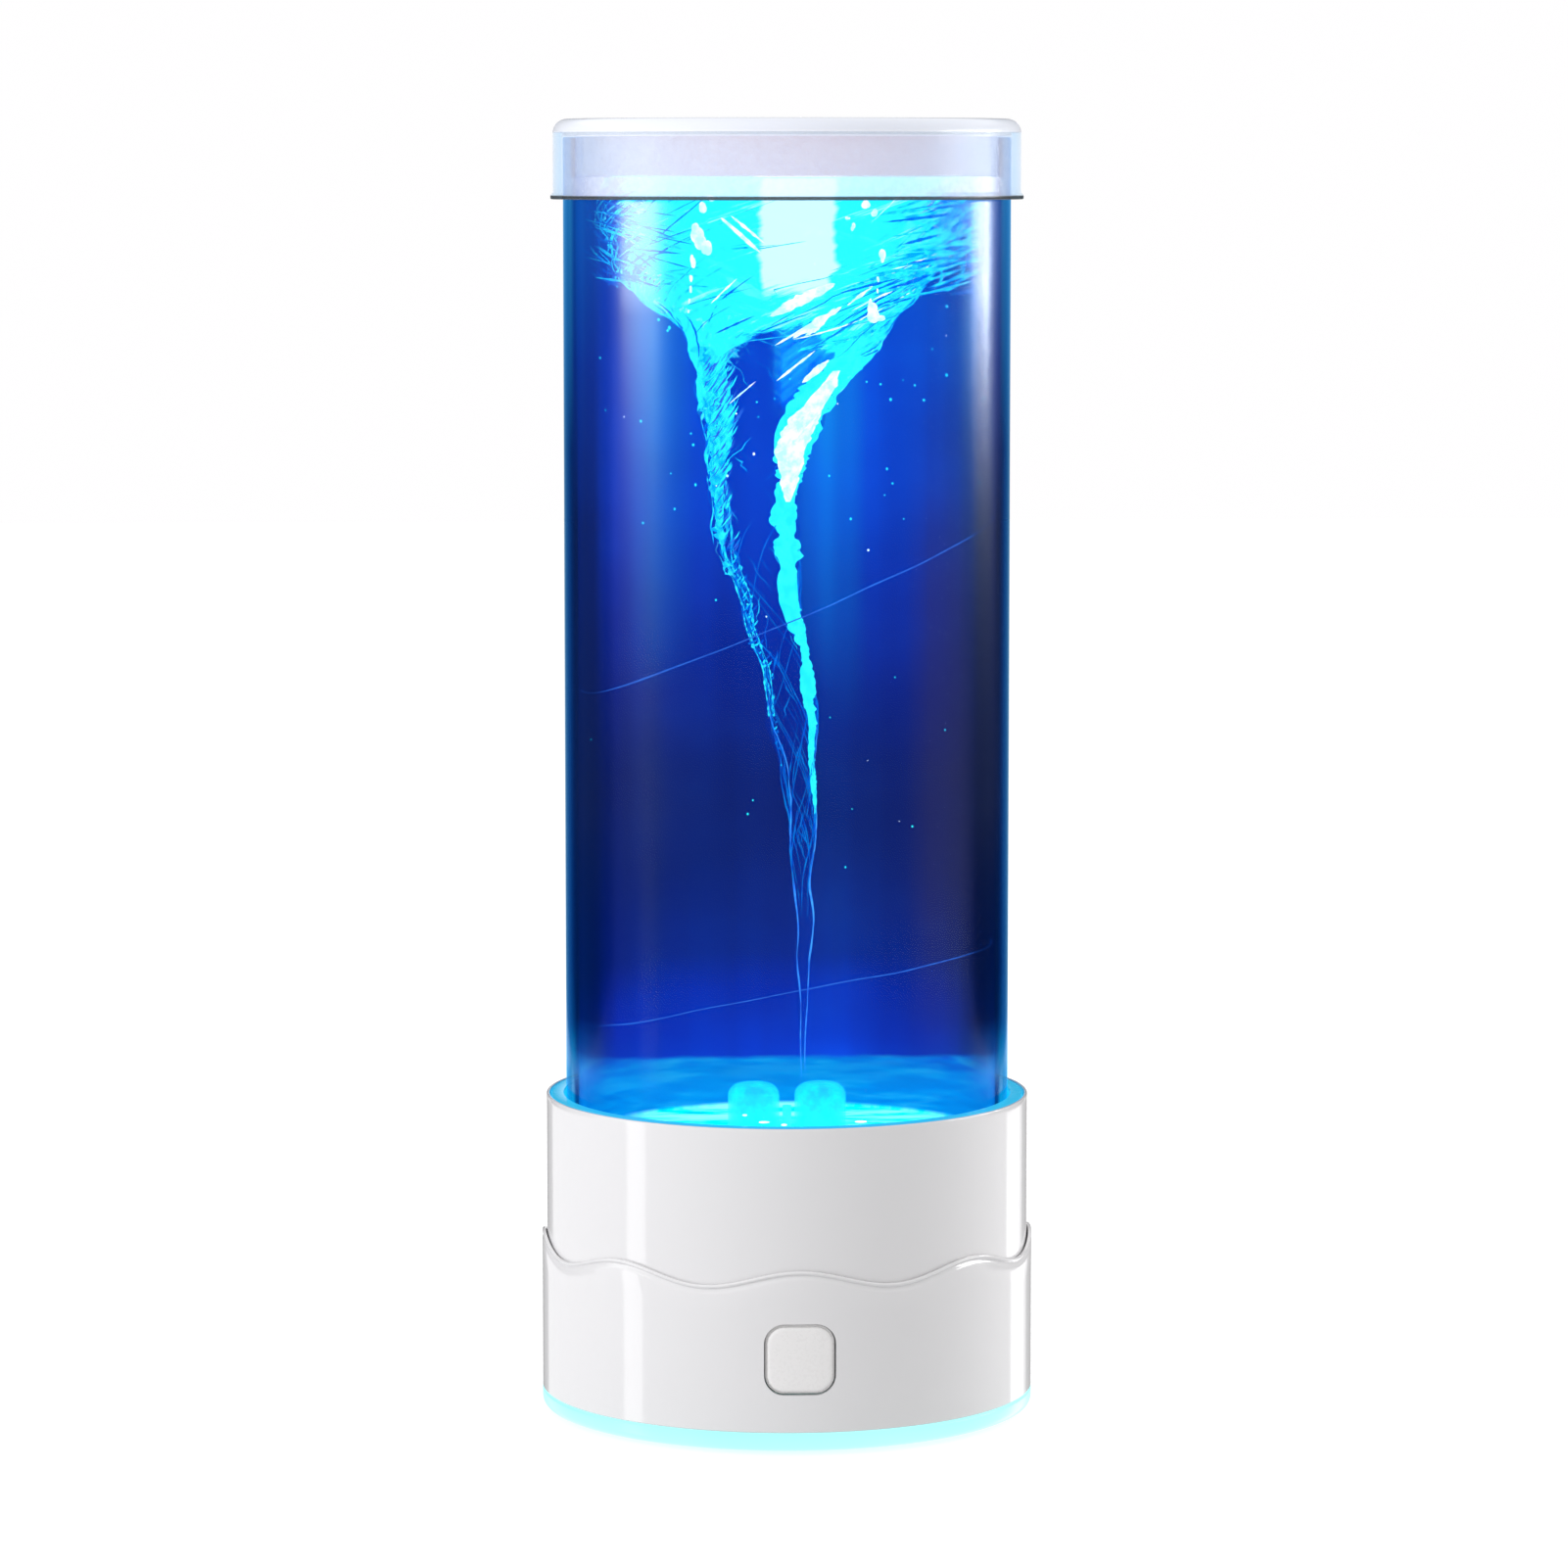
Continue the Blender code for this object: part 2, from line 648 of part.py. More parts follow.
def make_upper_shell():
    outer = upper_r - RIM_ROUND
    profile = [(ring_out + GAP, collar_z), (outer, collar_z)]
    profile += arc(outer, collar_z - RIM_ROUND, RIM_ROUND, 90.0, 0.0, steps=2)[1:]
    profile += [
        (upper_r, upper_z0), (upper_in, upper_z0), (upper_in, ledge_z), (ring_out + GAP, ledge_z),
    ]
    turned("upper_shell", profile, "white_plastic", WAVE_STEPS)


def make_light_ring():
    z0 = ledge_z + GAP
    profile = [(ring_in, collar_z), (ring_out - RING_ROUND, collar_z)]
    profile += [(ring_out, collar_z - RING_ROUND), (ring_out, z0), (ring_in, z0)]
    turned("light_ring", profile, "lit_cyan")


def make_chassis():
    well_out = well_r + WELL_WALL
    profile = [
        (chassis_r, ledge_z), (chassis_r, shelf_z0), (well_out, shelf_z0), (well_out, deck_z0),
        (shaft_hole_r, deck_z0), (shaft_hole_r, deck_z1), (well_r, deck_z1), (well_r, shelf_z1),
        (ring_in, shelf_z1), (ring_in, ledge_z),
    ]
    chassis = turned("chassis", profile, "chassis_plastic")
    for angle in around(POST_COUNT, POST_TURN):
        foot = polar(post_circle, angle, plate_z1 + GAP)
        top = polar(post_circle, angle, (shelf_z0 + shelf_z1) / 2)
        join(chassis, cylinder("post", foot, top, POST_R))
        head = polar(post_circle, angle, plate_z0 + FOOT_RECESS - GAP)
        screw_hole(chassis, head, (0, 0, 1), BASE_SCREW_LENGTH)
    for x in (-motor_screw_circle, motor_screw_circle):
        screw_hole(chassis, (x, 0.0, cup_z1 - CUP_FLANGE_T - GAP), (0, 0, 1), MOTOR_SCREW_LENGTH)
    lead_low = (led_lead_x, led_lead_y, shelf_z0 - OVERRUN)
    lead_high = (led_lead_x, led_lead_y, shelf_z1 + OVERRUN)
    cut(chassis, cylinder("led_lead_hole", lead_low, lead_high, WIRE_HOLE_R))


def make_tank():
    ring("tube", tube_in, TUBE_R, tube_z0, tube_z1, "clear_acrylic")
    groove = 2 * (FLOOR_SEAL_R + GAP)
    middle = (floor_z0 + floor_z1) / 2
    groove_r = water_r - 2 * FLOOR_SEAL_R - GAP
    profile = [
        (0.0, floor_z1), (water_r, floor_z1), (water_r, middle + groove / 2),
        (groove_r, middle + groove / 2), (groove_r, middle - groove / 2),
        (water_r, middle - groove / 2), (water_r, floor_z0), (0.0, floor_z0),
    ]
    floor = turned("tank_floor", profile, "clear_acrylic", closed=False)
    seat_z = floor_z1 - PIN_SEAT
    cut(floor, cylinder("pin_seat", (0, 0, seat_z - GAP), (0, 0, floor_z1 + OVERRUN), PIN_R + GAP))
    loop = arc(water_r - FLOOR_SEAL_R, middle, FLOOR_SEAL_R, 0.0, -360.0, FLOOR_SEAL_STEPS)[:-1]
    turned("floor_seal", loop, "seal_rubber", MIDDLE_STEPS)
    cylinder("impeller_pin", (0, 0, seat_z), (0, 0, hub_z0 + PIN_H), PIN_R, "motor_steel")


def make_water():
    """Water in the tube, less the impeller's turning space and the bent vortex funnel."""
    water = disc("liquid", water_r, water_z0, water_z1, "blue_water")
    hollow_r = hub_r + SPIN_CLEAR
    hollow_z1 = lug_z1 + SPIN_CLEAR
    cut(water, cylinder("impeller_space", (0, 0, water_z0 - OVERRUN), (0, 0, hollow_z1), hollow_r,
                        steps=MIDDLE_STEPS))
    tip_z = hollow_z1 + FUNNEL_TAIL_CLEAR
    heights = smooth_values(FUNNEL_HEIGHT_SHARES, FUNNEL_STEPS_PER_SPAN)
    widths = smooth_values(FUNNEL_RADIUS_SHARES, FUNNEL_STEPS_PER_SPAN)
    drifts = smooth_values(FUNNEL_DRIFT_SHARES, FUNNEL_STEPS_PER_SPAN)
    points = [(water_r * d, 0.0, tip_z + (water_z1 - tip_z) * h) for d, h in zip(drifts, heights)]
    points.append((0.0, 0.0, water_z1 + OVERRUN))
    widths.append(widths[-1])
    cut(water, tube_along("funnel", points, widths, water_r, FUNNEL_SIDES_RES))


def make_light_board():
    ring("led_board", led_board_r0, water_r, led_board_z0, led_board_z1, "circuit_board")
    for i, angle in enumerate(around(LED_COUNT, LED_TURN)):
        middle = polar(led_circle, angle, 0.0)
        half = LED_SIDE / 2
        box(f"led_{i + 1}", (middle.x - half, middle.y - half, led_z0),
            (middle.x + half, middle.y + half, led_z1), "led_package")


def make_motor():
    shaft_z0 = motor_z1 - SHAFT_IN_MOTOR
    shaft_z1 = carrier_z0 + SHAFT_IN_CARRIER
    edge = MOTOR_R - MOTOR_EDGE
    profile = [
        (0.0, motor_z1), (edge, motor_z1), (MOTOR_R, motor_z1 - MOTOR_EDGE),
        (MOTOR_R, motor_z0 + MOTOR_EDGE), (edge, motor_z0), (0.0, motor_z0),
    ]
    motor = turned("motor", profile, "motor_steel", MIDDLE_STEPS, closed=False)
    cut(motor, cylinder("motor_bore", (0, 0, shaft_z0 - GAP), (0, 0, motor_z1 + OVERRUN),
                        SHAFT_R + GAP))
    cylinder("motor_shaft", (0, 0, shaft_z0), (0, 0, shaft_z1), SHAFT_R, "screw_steel")
    cup_in = MOTOR_R + GAP
    flange_z0 = cup_z1 - CUP_FLANGE_T
    profile = [
        (cup_flange_r, cup_z1), (cup_flange_r, flange_z0), (cup_out, flange_z0), (cup_out, cup_z0),
        (CUP_VENT_R, cup_z0), (CUP_VENT_R, cup_z0 + CUP_FLOOR), (cup_in, cup_z0 + CUP_FLOOR),
        (cup_in, cup_z1),
    ]
    cup = turned("motor_cup", profile, "chassis_plastic", MIDDLE_STEPS)
    for i, x in enumerate((-motor_screw_circle, motor_screw_circle)):
        head = (x, 0.0, flange_z0 - GAP)
        screw_hole(cup, head, (0, 0, 1), MOTOR_SCREW_LENGTH)
        screw(f"motor_screw_{i + 1}", head, (0, 0, 1), MOTOR_SCREW_LENGTH)


def make_carrier():
    carrier = disc("magnet_carrier", CARRIER_R, carrier_z0, carrier_z1, "chassis_plastic")
    bore_z1 = carrier_z0 + SHAFT_IN_CARRIER + GAP
    cut(carrier, cylinder("carrier_bore", (0, 0, carrier_z0 - OVERRUN), (0, 0, bore_z1),
                          SHAFT_R + GAP))
    for i, x in enumerate((-magnet_circle, magnet_circle)):
        magnet_z0 = carrier_z1 - MAGNET_H
        cut(carrier, cylinder("carrier_pocket", (x, 0, magnet_z0 - GAP),
                              (x, 0, carrier_z1 + OVERRUN), MAGNET_R + GAP))
        cylinder(f"drive_magnet_{i + 1}", (x, 0, magnet_z0), (x, 0, carrier_z1), MAGNET_R,
                 "magnet_nickel")


def make_impeller():
    impeller = disc("impeller", hub_r, hub_z0, hub_z1, "lit_cyan", MIDDLE_STEPS)
    cut(impeller, cylinder("hub_bore", (0, 0, hub_z0 - OVERRUN), (0, 0, hub_z1 + OVERRUN),
                           PIN_R + GAP))
    for i, x in enumerate((-lug_circle, lug_circle)):
        profile = [(0.0, lug_z1), (LUG_R - LUG_ROUND, lug_z1)]
        profile += arc(LUG_R - LUG_ROUND, lug_z1 - LUG_ROUND, LUG_ROUND, 90.0, 0.0, steps=3)[1:]
        profile += [(LUG_R, (hub_z0 + hub_z1) / 2), (0.0, (hub_z0 + hub_z1) / 2)]
        lug = turned("lug", profile, None, LUG_STEPS, closed=False)
        lug.location.x = x
        join(impeller, lug)
        magnet_z0 = hub_z0 + GAP
        magnet_z1 = magnet_z0 + LUG_MAGNET_H
        cut(impeller, cylinder("lug_pocket", (x, 0, hub_z0 - OVERRUN), (x, 0, magnet_z1 + GAP),
                               LUG_MAGNET_R + GAP))
        cylinder(f"impeller_magnet_{i + 1}", (x, 0, magnet_z0), (x, 0, magnet_z1), LUG_MAGNET_R,
                 "magnet_nickel")


def make_button():
    face = disc("button_face", lower_r - BUTTON_INSET, button_z - BUTTON_SIDE,
                button_z + BUTTON_SIDE, steps=WAVE_STEPS)
    button = rounded_block("button_cap", BUTTON_SIDE, BUTTON_CORNER, -(lower_r + OVERRUN),
                           button_flange_y0 + BUTTON_FLANGE_T / 2, button_z, "button_plastic")
    combine(button, face, "INTERSECT")
    join(button, rounded_block("button_flange", 2 * flange_half, BUTTON_CORNER, button_flange_y0,
                               button_flange_y1, button_z))
    stem_end = button_flange_y1 + STEM_LENGTH
    join(button, cylinder("button_stem", (0, button_flange_y0 + BUTTON_FLANGE_T / 2, button_z),
                          (0, stem_end, button_z), STEM_R))
    cylinder("switch_plunger", (0, plunger_y0, button_z), (0, plunger_y1, button_z), PLUNGER_R,
             "switch_black")


def make_switch():
    half = SWITCH_SIDE / 2
    body = box("switch_body", (-half, switch_y0, button_z - half), (half, switch_y1, button_z + half),
               "switch_black")
    cut(body, cylinder("plunger_hole", (0, switch_y0 - OVERRUN, button_z),
                       (0, plunger_y1 + BUTTON_TRAVEL + GAP, button_z), PLUNGER_R + GAP))
    board = box("switch_board", (-switch_half, switch_board_y0, button_z - SWITCH_BOARD_H / 2),
                (switch_half, switch_board_y1, button_z + SWITCH_BOARD_H / 2), "circuit_board")
    for i, x in enumerate((-switch_boss_x, switch_boss_x)):
        head = (x, switch_board_y1 + GAP, button_z)
        screw_hole(board, head, (0, -1, 0), SWITCH_SCREW_LENGTH)
        screw(f"switch_screw_{i + 1}", head, (0, -1, 0), SWITCH_SCREW_LENGTH)


def make_control_board():
    board = box("control_board", (-control_half, -CONTROL_FRONT, board_z0),
                (control_half, control_y1, board_z1), "circuit_board")
    for i, x in enumerate((-control_boss_x, control_boss_x)):
        head = (x, CONTROL_BOSS_Y, board_z1 + GAP)
        screw_hole(board, head, (0, 0, -1), BOARD_SCREW_LENGTH)
        screw(f"board_screw_{i + 1}", head, (0, 0, -1), BOARD_SCREW_LENGTH)
    half = SOCKET_W / 2
    socket = box("power_socket", (-half, socket_y1 - SOCKET_D, board_z1 + GAP),
                 (half, socket_y1, board_z1 + GAP + SOCKET_H), "switch_black")
    mouth = lower_r - SOCKET_INSET
    join(socket, cylinder("socket_barrel", (0, socket_y1 - SOCKET_D / 2, socket_z),
                          (0, mouth, socket_z), SOCKET_BARREL_R, steps=BORE_STEPS))
    bore = cylinder("socket_bore", (0, mouth - SOCKET_BORE_D, socket_z),
                    (0, mouth + OVERRUN, socket_z), SOCKET_BORE_R, steps=BORE_STEPS)
    cut(socket, bore)
    pin_root = (0, mouth - SOCKET_BORE_D - OVERRUN, socket_z)
    join(socket, cylinder("socket_pin", pin_root, (0, mouth - SOCKET_PIN_SHY, socket_z), SOCKET_PIN_R))


def make_glow_board():
    z0 = plate_z1 + GAP
    z1 = z0 + GLOW_BOARD_T
    ring("glow_board", glow_board_r0, glow_board_r1, z0, z1, "circuit_board")
    middle_r = (glow_board_r0 + glow_board_r1) / 2
    half = GLOW_LED_SIDE / 2
    for i, angle in enumerate(around(GLOW_LED_COUNT, GLOW_LED_TURN)):
        middle = polar(middle_r, angle, 0.0)
        box(f"glow_led_{i + 1}", (middle.x - half, middle.y - half, z1 + GAP),
            (middle.x + half, middle.y + half, z1 + GAP + GLOW_LED_T), "led_package")
    lead_y = math.sqrt(middle_r ** 2 - glow_lead_x ** 2) - GLOW_BOARD_W / 4
    cylinder("glow_lead", (-glow_lead_x, lead_y, z1 + GAP), (-glow_lead_x, lead_y, board_z0 - GAP),
             WIRE_R, "wire_red")


def make_leads():
    """Leads from the control board to the motor, the light board and the switch."""
    low = board_z1 + GAP
    stub = low + WIRE_STUB
    wire("motor_lead", [
        (0.0, 0.0, motor_z0 - GAP), (0.0, 0.0, cup_z0),
        (MOTOR_LEAD_X / 2, MOTOR_LEAD_Y / 2, (cup_z0 + stub) / 2),
        (MOTOR_LEAD_X, MOTOR_LEAD_Y, stub), (MOTOR_LEAD_X, MOTOR_LEAD_Y, low),
    ])
    wire("led_lead", [
        (led_lead_x, led_lead_y, led_board_z0 - GAP), (led_lead_x, led_lead_y, shelf_z0),
        (led_lead_x, led_lead_y - LEAD_SWAY, (shelf_z0 + stub) / 2),
        (led_lead_x, led_lead_y, stub), (led_lead_x, led_lead_y, low),
    ])
    start_y = switch_board_y1 + GAP
    start_z = button_z - SWITCH_LEAD_DROP
    wire("switch_lead", [
        (SWITCH_LEAD_X, start_y, start_z), (SWITCH_LEAD_X, start_y + WIRE_STUB, start_z),
        (SWITCH_LEAD_X, (start_y + SWITCH_LEAD_Y) / 2, start_z + LEAD_SWAY),
        (SWITCH_LEAD_X, SWITCH_LEAD_Y, stub), (SWITCH_LEAD_X, SWITCH_LEAD_Y, low),
    ])


def make_cap():
    top_in = cap_r - CAP_CORNER
    profile = [(0.0, cap_z1), (top_in, cap_z1)]
    profile += arc(top_in, cap_z1 - CAP_CORNER, CAP_CORNER, 90.0, 0.0)[1:]
    rim_r = cap_r + CAP_RIM_OUT
    profile += [
        (cap_r, cap_z0 + CAP_RIM_H), (rim_r, cap_z0 + CAP_RIM_H / 2), (rim_r, cap_z0),
        (cap_in, cap_z0), (cap_in, ceiling_z), (0.0, ceiling_z),
    ]
    turned("top_cap", profile, "frosted_clear", closed=False)
    disc("cap_plug", water_r, plug_z0, plug_z1, "plug_white")
    ring("cap_seal", tube_in, TUBE_R, seal_z0, seal_z1, "seal_rubber")


make_bottom_plate()
make_glow_ring()
make_lower_shell()
make_upper_shell()
make_light_ring()
make_chassis()
make_tank()
make_water()
make_light_board()
make_motor()
make_carrier()
make_impeller()
make_button()
make_switch()
make_control_board()
make_glow_board()
make_leads()
make_cap()
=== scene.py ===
"""Looks of the tornado lamp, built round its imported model.

Units are metres, +Z is up and the button faces -Y, as in the frame. The water glows by
itself, so that it looks the same from all sides: a see-through skin in front, a solid far
side, and the vortex between them.
"""
import json
import random
from math import acos, cos, pi, radians, sin, sqrt

import bpy
import numpy as np
from mathutils import Euler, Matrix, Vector, noise


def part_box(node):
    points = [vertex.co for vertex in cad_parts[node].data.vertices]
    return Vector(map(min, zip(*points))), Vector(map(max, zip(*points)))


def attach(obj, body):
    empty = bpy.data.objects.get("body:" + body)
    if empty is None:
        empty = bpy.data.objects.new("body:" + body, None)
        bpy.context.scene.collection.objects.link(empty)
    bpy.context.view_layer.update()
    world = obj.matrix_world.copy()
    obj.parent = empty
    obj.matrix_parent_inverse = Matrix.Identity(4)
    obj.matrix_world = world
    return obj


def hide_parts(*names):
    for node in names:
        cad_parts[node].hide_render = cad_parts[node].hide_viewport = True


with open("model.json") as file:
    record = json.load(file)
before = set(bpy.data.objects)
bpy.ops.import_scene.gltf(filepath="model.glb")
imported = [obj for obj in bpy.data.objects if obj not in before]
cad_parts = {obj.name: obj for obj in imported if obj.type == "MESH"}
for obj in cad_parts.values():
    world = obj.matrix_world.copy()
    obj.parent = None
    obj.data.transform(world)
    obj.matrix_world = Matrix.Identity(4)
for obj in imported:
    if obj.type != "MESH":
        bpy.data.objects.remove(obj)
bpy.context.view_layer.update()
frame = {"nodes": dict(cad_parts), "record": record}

MM = 0.001
TURN = 2 * pi
random.seed(7)
draw = random.uniform

# The camera, found by fitting the lamp's outline in the photograph
PHOTO_PX = 1601
FOCAL_PX = 5963
SENSOR_MM = 36
CAMERA_D = 1.179            # from the lamp's axis
CAMERA_Z = 0.2524
CAMERA_PITCH = 6.03         # degrees down
CAMERA_TURN = -3            # degrees about the axis, towards -X
LAMP_RIGHT_PX = 3           # axis right of the picture's middle
AMBIENT = 0.8               # light of the surround on the lamp
FLOOR_GLOW = 0.53

# Sizes read from the frame
base_low, base_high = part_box("lower_shell")
tube_low, tube_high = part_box("tube")
water_low, water_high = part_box("liquid")
upper_low, upper_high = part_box("upper_shell")
glow_low, glow_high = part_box("glow_ring")
collar_low, collar_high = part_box("light_ring")
cap_low, cap_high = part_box("top_cap")
plug_low, plug_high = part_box("cap_plug")
impeller_low, impeller_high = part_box("impeller")
button_low, button_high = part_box("button_cap")
socket_low, socket_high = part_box("power_socket")
floor_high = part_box("tank_floor")[1]

GAP = 0.3 * MM
lower_r = base_high.x
upper_r = upper_high.x
tube_r = tube_high.x
water_r = water_high.x
collar_r = collar_high.x
cap_r = cap_high.x
tip_z = impeller_high.z + 2.8 * MM
level_z = water_high.z
socket_z = socket_low.z + 5.5 * MM
SOCKET_R = 3.9 * MM
BUTTON_HALF = 6.5 * MM
BUTTON_ROUND = 3.4 * MM
BUTTON_SLIT = 0.6 * MM
WAVE = 1.6 * MM             # height of the seam's waves, as in the CAD shells
WAVES = 8

# Fineness of the turned pieces
ROUND = 192
SMALL_ROUND = 64

# The funnel's outline as seen from the front: height between its tip and the water
# level, then left and right edge, as shares of the water's radius
FUNNEL_SHARES = (
    (0, 0.076, 0.084), (0.037, 0.06, 0.092), (0.072, 0.052, 0.1), (0.117, 0.036, 0.104),
    (0.169, 0.06, 0.126), (0.213, 0.042, 0.106), (0.252, 0.018, 0.135), (0.291, 0.006, 0.14),
    (0.324, -0.021, 0.14), (0.357, -0.036, 0.126), (0.396, -0.088, 0.136), (0.454, -0.114, 0.105),
    (0.494, -0.194, 0.095), (0.533, -0.223, 0.045), (0.592, -0.325, 0.035), (0.649, -0.363, 0.045),
    (0.684, -0.392, 0.09), (0.714, -0.388, 0.135), (0.754, -0.41, 0.213), (0.794, -0.43, 0.325),
    (0.816, -0.455, 0.405), (0.844, -0.56, 0.5), (0.869, -0.74, 0.64), (0.905, -0.83, 0.76),
    (0.944, -0.87, 0.84), (1, -0.88, 0.88),
)
TWIST = 85                  # radians of swirl for each metre of height

# The braid on the funnel's left: height share, then its half width in millimetres
BRAID = ((0.16, 0.25), (0.3, 0.4), (0.4, 0.7), (0.5, 1.1), (0.56, 1.5), (0.6, 1.8), (0.652, 2.1),
         (0.685, 2.5), (0.73, 3.5), (0.756, 3.6), (0.79, 3.2), (0.82, 2))

# The bright crest on the funnel's right, painted light on its lit side: height share, then its half width
# in millimetres
CREST = ((0.29, 0.15), (0.315, 0.45), (0.34, 0.6), (0.396, 0.75), (0.421, 1), (0.439, 1.1), (0.456, 0.85),
         (0.475, 0.65), (0.494, 1.5), (0.517, 1.6), (0.539, 1.9), (0.561, 1.9), (0.574, 1.4),
         (0.593, 2.6), (0.606, 1.4), (0.625, 2.8), (0.642, 2.4), (0.662, 2.3), (0.696, 3.2),
         (0.741, 4.8), (0.774, 4.4), (0.8, 3), (0.825, 1.2))

# Its white core, a painted highlight: height, left and right edge, in millimetres
CORE = ((185.6, -0.7, 0.3), (189, -1.6, 1.7), (193, -2.2, 3), (196, -2.9, 3), (198.5, -2.2, 4.4),
        (201.5, -0.6, 5.8), (205.6, 3, 7.4), (208.5, 6, 9), (212, 8.6, 10))

# White streaks on the funnel's front, painted highlights: across and height of both ends, and width, in
# millimetres
WHITE_STREAKS = (
    (-4.7, 222, 7.8, 228.5, 1.2), (-2.9, 223.5, 4.1, 227.5, 0.8), (0.1, 217.5, 9.5, 223.8, 0.8),
    (2.6, 218, 6.6, 221, 0.6), (-3.5, 216, 7, 222.4, 0.3), (-2.9, 208.8, 4.9, 215, 0.3),
    (2.3, 208.5, 7.7, 213, 0.7), (-12.3, 204, -6.9, 208.8, 0.16), (-16.4, 224.5, -11.4, 229.5, 0.2),
    (10.6, 224, 15.6, 228, 0.35), (-14.7, 241.4, -7, 234.6, 0.55), (-12.8, 241.8, -6.2, 236.4, 0.35),
)

# Large white drops under the cap: across, height, width and tallness, in millimetres
DROPS = (
    (-19.1, 238.5, 3.2, 4), (-17.6, 237, 2, 3), (-19.8, 240.6, 1.6, 2.4), (-18.2, 244.6, 1.6, 2.2),
    (-16.6, 246.4, 1.8, 1.4), (-20.2, 234, 1, 2.6), (-20.6, 231, 0.7, 1.5), (-20.7, 228.6, 0.6, 1.2),
    (-20.9, 226.4, 0.5, 1.1), (-21, 224.4, 0.5, 0.8), (16.6, 235, 1.5, 2.7), (15, 224.2, 2.8, 3.4),
    (14.2, 225.6, 1, 3.4), (16, 223.2, 2.4, 1.2), (15.8, 230.6, 0.5, 1), (15.7, 228.4, 0.5, 0.9),
    (13.4, 245.4, 1.8, 1.8), (15, 243.4, 1.3, 1.6), (10.8, 240.8, 1, 1.6), (9.8, 242.4, 1.2, 0.9),
)

# Flat glints on the front of the water's foot: across, height and width, in millimetres
GLINTS = ((-10.4, 66.4, 0.5), (-6.6, 65.1, 1.1), (-2.7, 64.6, 0.6), (12.6, 64.8, 1.2))


def srgb(red, green, blue):
    """A colour on the 0 to 255 display scale, as linear values."""
    shares = (red / 255, green / 255, blue / 255)
    return tuple(s / 12.92 if s <= 0.04045 else ((s + 0.055) / 1.055) ** 2.4 for s in shares)


class Field:
    """A value or colour over a surface. Operators join two into one; | takes the greater."""

    def __init__(self, graph, socket):
        self.graph = graph
        self.socket = socket

    def __add__(self, other):
        return self.graph.math("ADD", self, other)

    def __sub__(self, other):
        return self.graph.math("SUBTRACT", self, other)

    def __rsub__(self, other):
        return self.graph.math("SUBTRACT", other, self)

    def __mul__(self, other):
        return self.graph.math("MULTIPLY", self, other)

    def __or__(self, other):
        return self.graph.math("MAXIMUM", self, other)

    def span(self, low, high, to_low=0, to_high=1, smooth=False):
        return self.graph.node("MapRange", {
            "Value": self, "From Min": low, "From Max": high, "To Min": to_low, "To Max": to_high},
            "Result", interpolation_type="SMOOTHSTEP" if smooth else "LINEAR")

    def ramp(self, *stops):
        """Colours by place from 0 to 1, where a plain number is a grey."""
        made = self.graph.node("ValToRGB", {"Fac": self}, "Color")
        elements = made.socket.node.color_ramp.elements
        while len(elements) < len(stops):
            elements.new(0.5)
        for element, (place, color) in zip(elements, stops):
            element.position = place
            element.color = (*color, 1) if isinstance(color, tuple) else (color, color, color, 1)
        return made

    def mix(self, first, second):
        """First where this is 0, and second where it is 1."""
        return self.graph.blend(self, first, second, "MIX")

    def tint(self, other):
        return self.graph.blend(1, self, other, "MULTIPLY")


class Graph:
    """A tree of shader nodes."""

    def __init__(self, tree):
        self.tree = tree

    def feed(self, socket, value):
        """Link a field to a socket, or set a plain value on it."""
        if isinstance(value, Field):
            self.tree.links.new(value.socket, socket)
        elif socket.type == "RGBA":
            socket.default_value = (*value, 1)
        else:
            socket.default_value = value

    def node(self, kind, inputs, output=0, **settings):
        made = self.tree.nodes.new("ShaderNode" + kind)
        for key, value in settings.items():
            setattr(made, key, value)
        for key, value in inputs.items():
            self.feed(made.inputs[key], value)
        return Field(self, made.outputs[output])

    def math(self, operation, *values):
        return self.node("Math", dict(enumerate(values)), operation=operation)

    def blend(self, share, first, second, kind):
        """The colour sockets of a mix node are its inputs 6 and 7 and its output 2."""
        return self.node("Mix", {0: share, 6: first, 7: second}, 2, data_type="RGBA",
                         blend_type=kind)

    def seen(self):
        """1 for rays of the camera, of gloss and through clear pieces, and 0 for the rest."""
        camera, gloss, through = (self.node("LightPath", {}, f"Is {kind} Ray")
                                  for kind in ("Camera", "Glossy", "Transmission"))
        return camera | gloss | through


